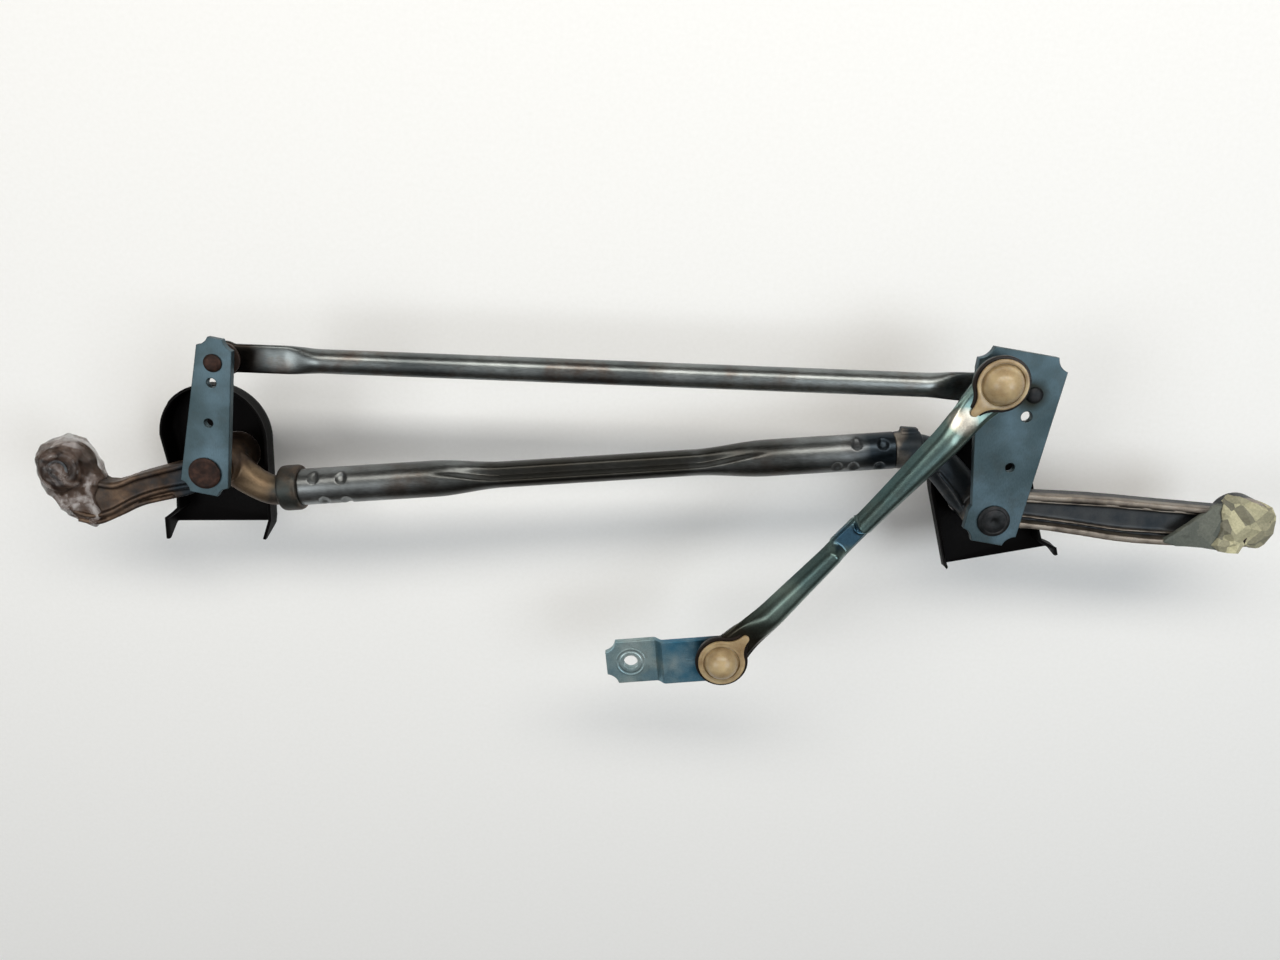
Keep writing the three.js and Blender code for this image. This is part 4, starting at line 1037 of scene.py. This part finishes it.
def rain_shield(wall, radius, bottom, ears, mirrored):
    slope, half_wall = math.tan(math.radians(EAR_SLOPE)), SHIELD_WALL / 2

    def reach(z, ear):
        """How low the wall reaches at a level: the straight edge at the floor, the ear above."""
        low_part = min(1.0, max(0.0, (z - SHIELD_FLOOR - 2) / (SHIELD_RIM - SHIELD_FLOOR - 4)))
        return bottom - ear * low_part

    bm = bmesh.new()
    steps = [0, 0.5, 1.6, 3.4, 5.5, 7.5, 9.2, 10.4, 11.4, 12.4, 13.5]
    insets = [2.2, 1.0, 0.25, 0, 0, 0, 0, 0, 0, -0.2, -0.5]
    rows = []
    for step, back in zip(steps, insets):
        z = SHIELD_FLOOR + half_wall + step
        ends = [reach(z, ear) + slope * x for ear, x in zip(ears, (-43, wall))]
        lean = max(0.0, ears[1]) * 0.5 * (z - SHIELD_FLOOR) / (SHIELD_RIM - SHIELD_FLOOR)
        run = shield_rim(wall - half_wall - back, radius - half_wall - back, ends, lean)
        rows.append([bm.verts.new((x if x > -36 else x + half_wall + back, y, z)) for x, y in run])
    bridged(bm, rows, around=False)
    floor_edge = rows[0]
    floor_z = SHIELD_FLOOR + half_wall
    hole = [bm.verts.new((x, y, floor_z)) for x, y in circle(0, 0, BARREL_R + GAP, 48)]
    edges = [bm.edges.get((a, b)) for a, b in zip(floor_edge, floor_edge[1:])]
    edges.append(bm.edges.new((floor_edge[-1], floor_edge[0])))
    edges += [bm.edges.new((hole[i - 1], hole[i])) for i in range(len(hole))]
    bmesh.ops.triangle_fill(bm, use_beauty=True, edges=edges)
    bmesh.ops.recalc_face_normals(bm, faces=bm.faces)
    made = object_of(bm)
    sheet = made.modifiers.new("sheet", "SOLIDIFY")
    sheet.thickness, sheet.offset, sheet.use_even_offset = SHIELD_WALL, 0, False
    edge = made.modifiers.new("edge", "BEVEL")
    edge.width, edge.segments = 0.4, 2
    edge.limit_method, edge.angle_limit = "ANGLE", math.radians(50)
    cup = settled(made)
    if mirrored:
        cup.transform(Matrix.Scale(-1, 4, (1, 0, 0)))
    return facing_out(cup)


SHIELDS = {
    "left": ((21.5, 32.5, -46, (8, 8.5), False), 0, (0, 0, 0)),
    "right": ((23.5, 30, -43, (2, -3), True), 18, (*pivot, 0)),
}
for side, (sizes, turn, centre) in SHIELDS.items():
    finished(f"{side}_shield_cup", turned_about(rain_shield(*sizes), turn, centre), "frame",
             "shield_plastic", shield_plastic, [f"{side}_rain_shield"])

# %% [markdown]
# ## Turned parts
# Shafts, rivets, balls, bushes, washers and the rubber bushes of the eyes are all turned. Each
# is one profile; the loops below place a set at both pivots and both eyes.

# %% Pivot shafts
SHAFT_TIP, CONE_TOP, CONE_LOW, THREAD_R = -66, -45, -55, 4
CONE_R, CONE_END_R = SHAFT_R - 0.35, 4.4
COLLAR_LOW = LEVER_LOW - GAP - 3.6
CIRCLIP = (-39.8, -38.7)


def shaft_profile(ring):
    """ring is how deep the turned ring in the head is, in mm."""
    head, groove, core = LEVER_TOP + GAP, SHAFT_R - 0.8, THREAD_R - 0.55
    clip_low, clip_high = CIRCLIP[0] - GAP, CIRCLIP[1] + GAP
    top = head + 1.5
    return [
        (0, SHAFT_TIP), (2.6, SHAFT_TIP), (core, SHAFT_TIP + 1), (core, CONE_LOW - 0.6),
        (CONE_END_R, CONE_LOW), (CONE_R, CONE_TOP - 0.8), (SHAFT_R, CONE_TOP), (SHAFT_R, clip_low),
        (groove, clip_low), (groove, clip_high), (SHAFT_R, clip_high),
        (SHAFT_R, COLLAR_LOW), (9.1, COLLAR_LOW), (9.4, COLLAR_LOW + 0.3), (9.4, LEVER_LOW - GAP),
        (SHAFT_R, LEVER_LOW - GAP), (SHAFT_R, head), (8.9, head), (9.2, head + 0.35),
        (9.1, head + 0.9), (8.5, head + 1.3), (7.4, top), (7.0, top - ring), (6.4, top - ring),
        (6.0, top - 0.05), (2.6, top), (1.9, top - ring / 2), (1.0, top - 2 * ring),
        (0, top - 3 * ring)]


# %% [markdown]
# The wiper arm grips a knurled cone and a nut on an M8 thread. Sixty fine teeth round a cone and
# a thread along the tip are repeats, so Geometry Nodes make them: one tree puts a tooth at every
# point of a circle, and the other sweeps a small triangle along a spiral.

# %% Knurl and thread
def node_group(name, inputs):
    """An empty geometry tree with number inputs and one geometry output."""
    tree = bpy.data.node_groups.new(name, "GeometryNodeTree")
    tree.interface.new_socket("Geometry", in_out="OUTPUT", socket_type="NodeSocketGeometry")
    for label, (kind, value) in inputs.items():
        tree.interface.new_socket(label, in_out="INPUT", socket_type=kind).default_value = value
    return tree, tree.nodes.new("NodeGroupInput"), tree.nodes.new("NodeGroupOutput")


def finished_tree(tree, geometry, output, material):
    real = add(tree, "GeometryNodeRealizeInstances", {"Geometry": geometry})
    sockets = {"Geometry": real.outputs[0], "Material": material}
    dressed = add(tree, "GeometryNodeSetMaterial", sockets)
    tree.links.new(dressed.outputs[0], output.inputs[0])


def knurl_tree():
    tree, given, output = node_group("knurled_cone", {
        "Teeth": ("NodeSocketInt", 60), "Radius": ("NodeSocketFloat", 5.0),
        "Length": ("NodeSocketFloat", 11.0), "Tilt": ("NodeSocketFloat", 0.1)})
    ring = add(tree, "GeometryNodeMeshCircle", {
        "Vertices": given.outputs["Teeth"], "Radius": given.outputs["Radius"]})
    tooth = add(tree, "GeometryNodeMeshCylinder", {
        "Vertices": 3, "Radius": 0.42, "Depth": given.outputs["Length"]}, fill_type="TRIANGLE_FAN")
    place = add(tree, "GeometryNodeInputPosition")
    radial = add(tree, "FunctionNodeAlignEulerToVector", {"Vector": place.outputs[0]}, axis="X")
    leaning = add(tree, "ShaderNodeCombineXYZ", {"Y": given.outputs["Tilt"]})
    facing = add(tree, "FunctionNodeRotateEuler", {
        "Rotation": radial.outputs[0], "Rotate By": leaning.outputs[0]}, space="LOCAL")
    teeth = add(tree, "GeometryNodeInstanceOnPoints", {
        "Points": ring.outputs["Mesh"], "Instance": tooth.outputs["Mesh"],
        "Rotation": facing.outputs[0]})
    finished_tree(tree, teeth.outputs["Instances"], output, shaft_metal)
    return tree


def thread_tree():
    tree, given, output = node_group("screw_thread", {
        "Turns": ("NodeSocketFloat", 7.0), "Radius": ("NodeSocketFloat", 3.5),
        "Length": ("NodeSocketFloat", 8.75)})
    spiral = add(tree, "GeometryNodeCurveSpiral", {
        "Resolution": 28, "Rotations": given.outputs["Turns"],
        "Start Radius": given.outputs["Radius"], "End Radius": given.outputs["Radius"],
        "Height": given.outputs["Length"]})
    ridge = add(tree, "GeometryNodeCurvePrimitiveCircle", {"Resolution": 3, "Radius": 0.62})
    swept_ridge = add(tree, "GeometryNodeCurveToMesh", {
        "Curve": spiral.outputs[0], "Profile Curve": ridge.outputs[0], "Fill Caps": True})
    finished_tree(tree, swept_ridge.outputs[0], output, shaft_metal)
    return tree


def grown(tree, values, place):
    """The shape a geometry tree makes with these input values, moved to a place, as a bmesh."""
    made = object_of(bmesh.new())
    nodes = made.modifiers.new("nodes", "NODES")
    nodes.node_group = tree
    for socket in tree.interface.items_tree:
        if socket.item_type == "SOCKET" and socket.name in values:
            nodes[socket.identifier] = values[socket.name]
    made.update_tag()
    bm = settled(made)
    bm.transform(Matrix.Translation(place))
    return bm


knurl, thread = knurl_tree(), thread_tree()
CONE_LENGTH = CONE_TOP - CONE_LOW
cone_tilt = math.atan2(CONE_R - CONE_END_R, CONE_LENGTH)
PIVOTS = {"left": Vector(), "right": RIGHT_PIVOT}
for side, aged, ring in (("left", rusty_steel, 0.06), ("right", blackened_steel, 0.3)):
    x, y = PIVOTS[side].xy
    cone = grown(knurl, {"Radius": 5.02, "Length": CONE_LENGTH - 1.4, "Tilt": cone_tilt},
                 (x, y, CONE_LOW + CONE_LENGTH / 2 - 0.2))
    screw = grown(thread, {"Length": 8.75, "Turns": 7.0}, (x, y, SHAFT_TIP + 1.2))
    for part, shape in (("knurl", cone), ("thread", screw)):
        finished(f"{side}_shaft_{part}", facing_out(shape), f"{side}_lever", "shaft_steel",
                 shaft_metal, sharp=20)
    finished(f"{side}_shaft", turned(shaft_profile(ring), (x, y)), f"{side}_lever", "shaft_steel",
             aged, [f"{side}_pivot_shaft"])

# %% Bushes, washers and clips at both pivots
BUSH_IN, FLANGED_R = SHAFT_R + GAP, 10.6


def ring_profile(inner, outer, low, high, edge=0.25):
    return rounded_profile([(inner, low), (outer, low), (outer, high), (inner, high)], edge, 2)


def flanged(low, high, flange_low, flange_high):
    """The profile of a bush whose flange lies at one end."""
    if flange_low >= high - 0.01:
        corners = [(BUSH_IN, low), (BUSH_R, low), (BUSH_R, flange_low), (FLANGED_R, flange_low),
                   (FLANGED_R, flange_high), (BUSH_IN, flange_high)]
    else:
        corners = [(BUSH_IN, flange_low), (FLANGED_R, flange_low), (FLANGED_R, flange_high),
                   (BUSH_R, flange_high), (BUSH_R, high), (BUSH_IN, high)]
    return rounded_profile(corners, 0.25, 2)


def clip_shape():
    opening = 35
    steps = range(opening, 360 - opening + 1, 5)
    outline = [polar(8.8, a) for a in steps] + [polar(5.5, a) for a in reversed(steps)]
    return plate(outline, *CIRCLIP, edge=0.15)


for side, centre in PIVOTS.items():
    lever = f"{side}_lever"
    upper = flanged(0, BARREL_TOP + GAP, BARREL_TOP + GAP, BARREL_TOP + 1.5)
    lower = flanged(BARREL_LOW - GAP, -26, BARREL_LOW - 1.5, BARREL_LOW - GAP)
    thrust = ring_profile(BUSH_IN, 10.4, BARREL_TOP + 1.8, COLLAR_LOW - GAP)
    wave = ring_profile(BUSH_IN, 9.6, CIRCLIP[1] + GAP, BARREL_LOW - 1.8)
    for name, profile, body, slot, material, node in (
            ("bronze_bush_top", upper, "frame", "bronze", sintered_bronze, "upper_bush"),
            ("bronze_bush_low", lower, "frame", "bronze", sintered_bronze, "lower_bush"),
            ("nylon_thrust_ring", thrust, lever, "dark_nylon", dark_nylon, "thrust_washer"),
            ("wave_washer", wave, lever, "spring_steel", phosphated, "spring_washer")):
        finished(f"{side}_{name}", turned(profile, centre.xy), body, slot, material,
                 [f"{side}_{node}"])
    finished(f"{side}_retaining_clip", turned_about(clip_shape(), 0, centre), lever,
             "spring_steel", phosphated, [f"{side}_circlip"])

# %% Rubber bushes and steel sleeves of the eyes
SLEEVE_R, SLEEVE_BORE, SLEEVE_OVERHANG = 6.2, 4.3, 2
LIP_LOW, LIP_HIGH = EYE_LOW - 1.6, EYE_HIGH + 1.6
for side, centre, radius in (("left", LEFT_EYE, LEFT_EYE_R), ("right", RIGHT_EYE, RIGHT_EYE_R)):
    waist, inner = radius - EYE_WALL - GAP, SLEEVE_R + GAP
    lip = waist + 2.2
    ring = rounded_profile([
        (inner, LIP_LOW), (lip, LIP_LOW), (lip, EYE_LOW - GAP), (waist, EYE_LOW - GAP),
        (waist, EYE_HIGH + GAP), (lip, EYE_HIGH + GAP), (lip, LIP_HIGH), (inner, LIP_HIGH)], 0.7, 4)
    finished(f"{side}_eye_bush", turned(ring, centre.xy), "frame", "rubber", bush_rubber,
             [f"{side}_eye_grommet"])
    tube = ring_profile(SLEEVE_BORE, SLEEVE_R, EYE_LOW - SLEEVE_OVERHANG,
                        EYE_HIGH + SLEEVE_OVERHANG, 0.35)
    finished(f"{side}_eye_tube", turned(tube, centre.xy), "frame", "spring_steel", phosphated,
             [f"{side}_eye_sleeve"])

# %% [markdown]
# ## Balls and sockets
# Small balls hang under the levers and snap into dark nylon sockets in the rod. Larger balls
# stand on the right lever and on the crank, under the domes of the link's pale nylon sockets.
# The upper ends of the studs are peened over like rivets, so their heads are slightly domed.

# %% Rivets and balls
ROD_BALL_R, DRIVE_BALL_R = 5.5, 8
SEAT = LEVER_TOP + GAP


def rod_ball(top):
    neck = [(3.4, top - 3), (5.2, top - 2.6), (5.4, top - 2.4), (5.4, top)]
    return ball_arc(ROD_BALL_R, ROD_LEVEL, -90, 52) + neck


def peened(radius):
    """The profile of a riveted-over head."""
    return [(radius, SEAT), (radius + 0.1, SEAT + 0.3), (radius - 0.5, SEAT + 1.0),
            (radius - 1.6, SEAT + 1.4), (radius * 0.3, SEAT + 1.6), (0, SEAT + 1.62)]


def drive_ball(low):
    return [(0, low - 1.6), (4.6, low - 1.5), (5.9, low - 1.0), (6.4, low - 0.4), (6.4, low),
            (DRIVE_TENON_R, low), (DRIVE_TENON_R, SEAT), (6.6, SEAT), (6.8, SEAT + 0.3),
            (6.8, SEAT + 1.2), (5.4, SEAT + 1.6), (4.6, LEVER_TOP + 2.4)
            ] + ball_arc(DRIVE_BALL_R, DRIVE_LEVEL, -55, 90)


neck_top = LEVER_LOW - GAP
left_ball = rod_ball(neck_top) + [(0, neck_top)]
left_rivet = [(0, LEVER_LOW), (TENON_R, LEVER_LOW), (TENON_R, SEAT)] + peened(5.0)
right_ball = rod_ball(neck_top) + [(TENON_R, neck_top), (TENON_R, SEAT)] + peened(4.5)
for name, profile, centre, body, material, node in (
        ("left_ball_and_neck", left_ball, LEFT_ROD_BALL, "connecting_rod", shaft_metal,
         "left_rod_ball_stud"),
        ("left_peened_rivet", left_rivet, LEFT_ROD_BALL, "left_lever", rusty_steel,
         "left_rod_rivet"),
        ("right_ball_and_rivet", right_ball, RIGHT_ROD_BALL, "right_lever", blackened_steel,
         "right_rod_ball_stud"),
        ("drive_ball_pin", drive_ball(neck_top), DRIVE_BALL, "right_lever", shaft_metal,
         "drive_ball_stud"),
        ("crank_ball_pin", drive_ball(neck_top), CRANK_BALL, "crank", shaft_metal,
         "crank_ball_stud")):
    finished(name, turned(profile, centre.xy), body, "shaft_steel", material, [node])

# %% Sockets in the rod
def rod_socket():
    flange = ROD_LEVEL + ROD_FLAT + GAP
    outside = rounded_profile([
        (0, ROD_LEVEL - 7.6), (5, ROD_LEVEL - 7), (ROD_SOCKET_R, ROD_LEVEL - 4.6),
        (ROD_SOCKET_R, flange), (9.4, flange), (9.4, flange + 1.6), (5.2, flange + 1.6),
        (0, flange + 1.6)], 0.4)[:-2]
    return outside + ball_arc(ROD_BALL_R + GAP, ROD_LEVEL, 52, -90)


for side, centre in (("left", LEFT_ROD_BALL), ("right", RIGHT_ROD_BALL)):
    finished(f"{side}_rod_ball_cup", turned(rod_socket(), centre.xy), "connecting_rod",
             "dark_nylon", dark_nylon, [f"{side}_rod_socket"])

# %% [markdown]
# The link's sockets are the palest parts. Each has a domed cap over the ball, a groove where the
# dome meets its flange, and a tongue along the link that keys the socket and lets a tool lift
# it. The dome is turned and the flange is a rounded plate with the tongue in its outline.

# %% Sockets of the drive link
FLANGE_R, TONGUE, TIP_R = 13.9, 20.6, 2.3


def flange_outline(grow=0.0):
    """A circle that flows into a round-ended tongue along +X, grown by a margin."""
    radius, tip, leave = FLANGE_R + grow, TIP_R + grow, math.radians(42)
    start = Vector((radius * math.cos(leave), radius * math.sin(leave)))
    bend, neck = Vector((radius * 1.02, tip + 0.6)), Vector((TONGUE, tip))
    half = [(radius * math.cos(math.radians(a)), radius * math.sin(math.radians(a)))
            for a in range(180, 42, -4)]
    half += [tuple((1 - t) ** 2 * start + 2 * t * (1 - t) * bend + t * t * neck)
             for t in np.arange(0, 1, 0.1)]
    half += [(TONGUE + tip * math.cos(a), tip * math.sin(a))
             for a in np.linspace(math.pi / 2, 0, 7)]
    return [(x, -y) for x, y in half] + half[-2:0:-1]


def link_socket(dome_r, rise):
    seat, mouth = LINK_TOP + GAP, DRIVE_LEVEL - 6.4
    body = [(5.6, mouth), (DRIVE_SOCKET_R - 0.4, mouth), (DRIVE_SOCKET_R, mouth + 0.4),
            (DRIVE_SOCKET_R, seat), (12.4, seat), (12.6, seat + 1.7), (dome_r + 0.9, seat + 1.7),
            (dome_r + 0.4, seat + 0.5)]
    dome = [(dome_r * math.cos(math.radians(a)) if a < 90 else 0,
             seat + 0.7 + rise * math.sin(math.radians(a))) for a in range(0, 91, 6)]
    cap = turned(ball_arc(DRIVE_BALL_R + GAP, DRIVE_LEVEL, 90, -48) + body + dome)
    flange = plate(flange_outline(), seat + 0.1, seat + 1.9, [circle(0, 0, 12.0, 72)], edge=0.45)
    return joined(cap, flange)


for side, turn, centre, dome in (("upper", LINK_TURN, DRIVE_BALL, (11, 10.2)),
                                 ("lower", LINK_TURN + 180, CRANK_BALL, (10, 9.8))):
    place = (*centre.xy, 0)
    finished(f"{side}_nylon_ball_cap", turned_about(link_socket(*dome), turn, place), "drive_link",
             "natural_nylon", natural_nylon, [f"{side}_link_socket"], sharp=40)
    # A dark ring round each flange: partly grease pressed out of the socket, partly painted shadow where the
    # flange sits on the pad.
    shadow_and_grease_outline = plate(flange_outline(1.7), LINK_TOP - 2.4, LINK_TOP + 0.28, [circle(0, 0, 12.6, 72)],
                  edge=0.3)
    finished(f"{side}_grease_and_painted_shadow_ring", turned_about(shadow_and_grease_outline, turn, place), "drive_link", "dark_nylon",
             grease_and_painted_shadow)

# %% [markdown]
# ## Packing left on the eyes
# Both mounting eyes still carry packing: a clear film round the left one and crumpled paper
# tape over the right one. Each is wrapped as a skin over a few blocks, folded along the ridges
# of a noise, opened underneath and given the thickness of the sheet. The tape is stiffer, so
# its skin is reduced to flat facets with straight folds.

# %% Crumpled sheets
def wrapped(blocks, fold, depth, seed, facets=1.0, sheet=0.35):
    """A thin crumpled sheet over some blocks, open underneath. fold and depth are in mm."""
    bm = skin(blocks, 0.7, 6)
    bm.normal_update()
    for vertex in bm.verts:
        place = vertex.co / fold + Vector((seed, 0, 0))
        ridge = 0.5 - 2 * abs(noise.noise(place)) + 0.5 * noise.noise(place * 2.3)
        vertex.co += vertex.normal * depth * ridge
    bm.normal_update()
    bmesh.ops.delete(bm, geom=[face for face in bm.faces if face.normal.z < -0.5], context="FACES")
    made = object_of(bm)
    if facets < 1:
        reduced = made.modifiers.new("facets", "DECIMATE")
        reduced.ratio = facets
    thick = made.modifiers.new("sheet", "SOLIDIFY")
    thick.thickness, thick.offset = sheet, -1
    return facing_out(settled(made))


def film():
    material, tree, shader, where = surface("clear_packing_film")
    cloud = cloudy(tree, where, 18, 4, Distortion=1.2)
    # The film's own brownish tone, lifted to white at the top of the ramp: painted glints on the crinkles.
    film_tone_and_painted_glints = ramp(tree, cloud, (0.38, "2b201a"), (0.52, "66544a"), (1.0, "ffffff"))
    tree.links.new(film_tone_and_painted_glints, shader.inputs["Base Color"])
    tree.links.new(ranged(tree, cloud, 0.42, 0.62, 0.3, 0.75), shader.inputs["Alpha"])
    bumpy(tree, shader, cloudy(tree, where, 4, 3, Distortion=2.0), 0.7, 0.7)
    shader.inputs["Roughness"].default_value = 0.16
    return material


def tape(name, dark, light):
    material, tree, shader, where = surface(name)
    cell = add(tree, "ShaderNodeTexVoronoi", {"Vector": where, "Scale": 100, "Randomness": 1.0})
    # Each cell gets its own tone between dark and light: partly the tape's patchy colour, partly painted shade and
    # light of its facets.
    cell_tone_and_painted_facet_shade = add(tree, "ShaderNodeSeparateColor", {"Color": cell.outputs["Color"]}).outputs["Red"]
    fibre = cloudy(tree, where, 1.2, 4)
    colour = speckled(tree, blend(tree, cell_tone_and_painted_facet_shade, srgb(dark), srgb(light)), fibre, 0.82, 1.12)
    tree.links.new(colour, shader.inputs["Base Color"])
    bumpy(tree, shader, fibre, 0.6, 0.15)
    shader.inputs["Roughness"].default_value = 0.7
    return material


# %% Film on the left eye, tape on the right eye
film_arm = [(-79, -4), (-86, 7), (-96, 9.3), (-106, 5), (-111, -3), (-111, -14), (-107, -26.5),
            (-98, -36), (-89, -44.2), (-79, -45.4), (-76, -38), (-79, -28), (-74, -16)][::-1]
film_eye = [(0, -6), (14.8, -6), (15.2, 5), (13.6, 9.2), (10, 10.4), (0, 9.8)]
film_blocks = joined(turned(film_eye, LEFT_EYE.xy), plate(film_arm, -6, 6.2))
finished("left_film_wrap", wrapped(film_blocks, 13, 1.3, 3.0, sheet=0.25), "frame", "clear_film",
         film(), ["left_packing_film"], sharp=60)

eye_x, eye_y = RIGHT_EYE.xy
strip_outline = [(563.5, -13), (576, -1.5), (588.5, 10.6), (594, 12.5), (604, 10), (604, -15),
                 (598, -16), (585, -16), (572, -15.5)][::-1]
finished("right_tape_strip", wrapped(plate(strip_outline, 4.6, 8.0), 16, 0.8, 2.0, facets=0.04),
         "frame", "masking_tape", tape("grey_side_of_tape", "50554f", "6b6e64"),
         ["right_packing_tape"], sharp=10)

cap_outline = [(592, 15), (601, 19), (612, 16), (612, -14), (602, -17), (594, -13), (597, 0)][::-1]
cap_blocks = joined(
    turned([(0, 5), (15.2, 5), (15.5, 8), (11.5, 11), (0, 11.5)], RIGHT_EYE.xy),
    turned([(0, -5), (14.2, -5), (14.8, 6), (0, 6)], (eye_x + 1.7, eye_y - 1.9)),
    plate(cap_outline, 5, 9.4))
finished("right_tape_cap", wrapped(cap_blocks, 11, 2.3, 11.0, facets=0.03), "frame",
         "masking_tape", tape("cream_side_of_tape", "656356", "bfba98"), sharp=10)

# %% [markdown]
# ## Size of the plain model
# The plain model's box is printed once more.

# %% Boxes
print("plain box", cad_box)
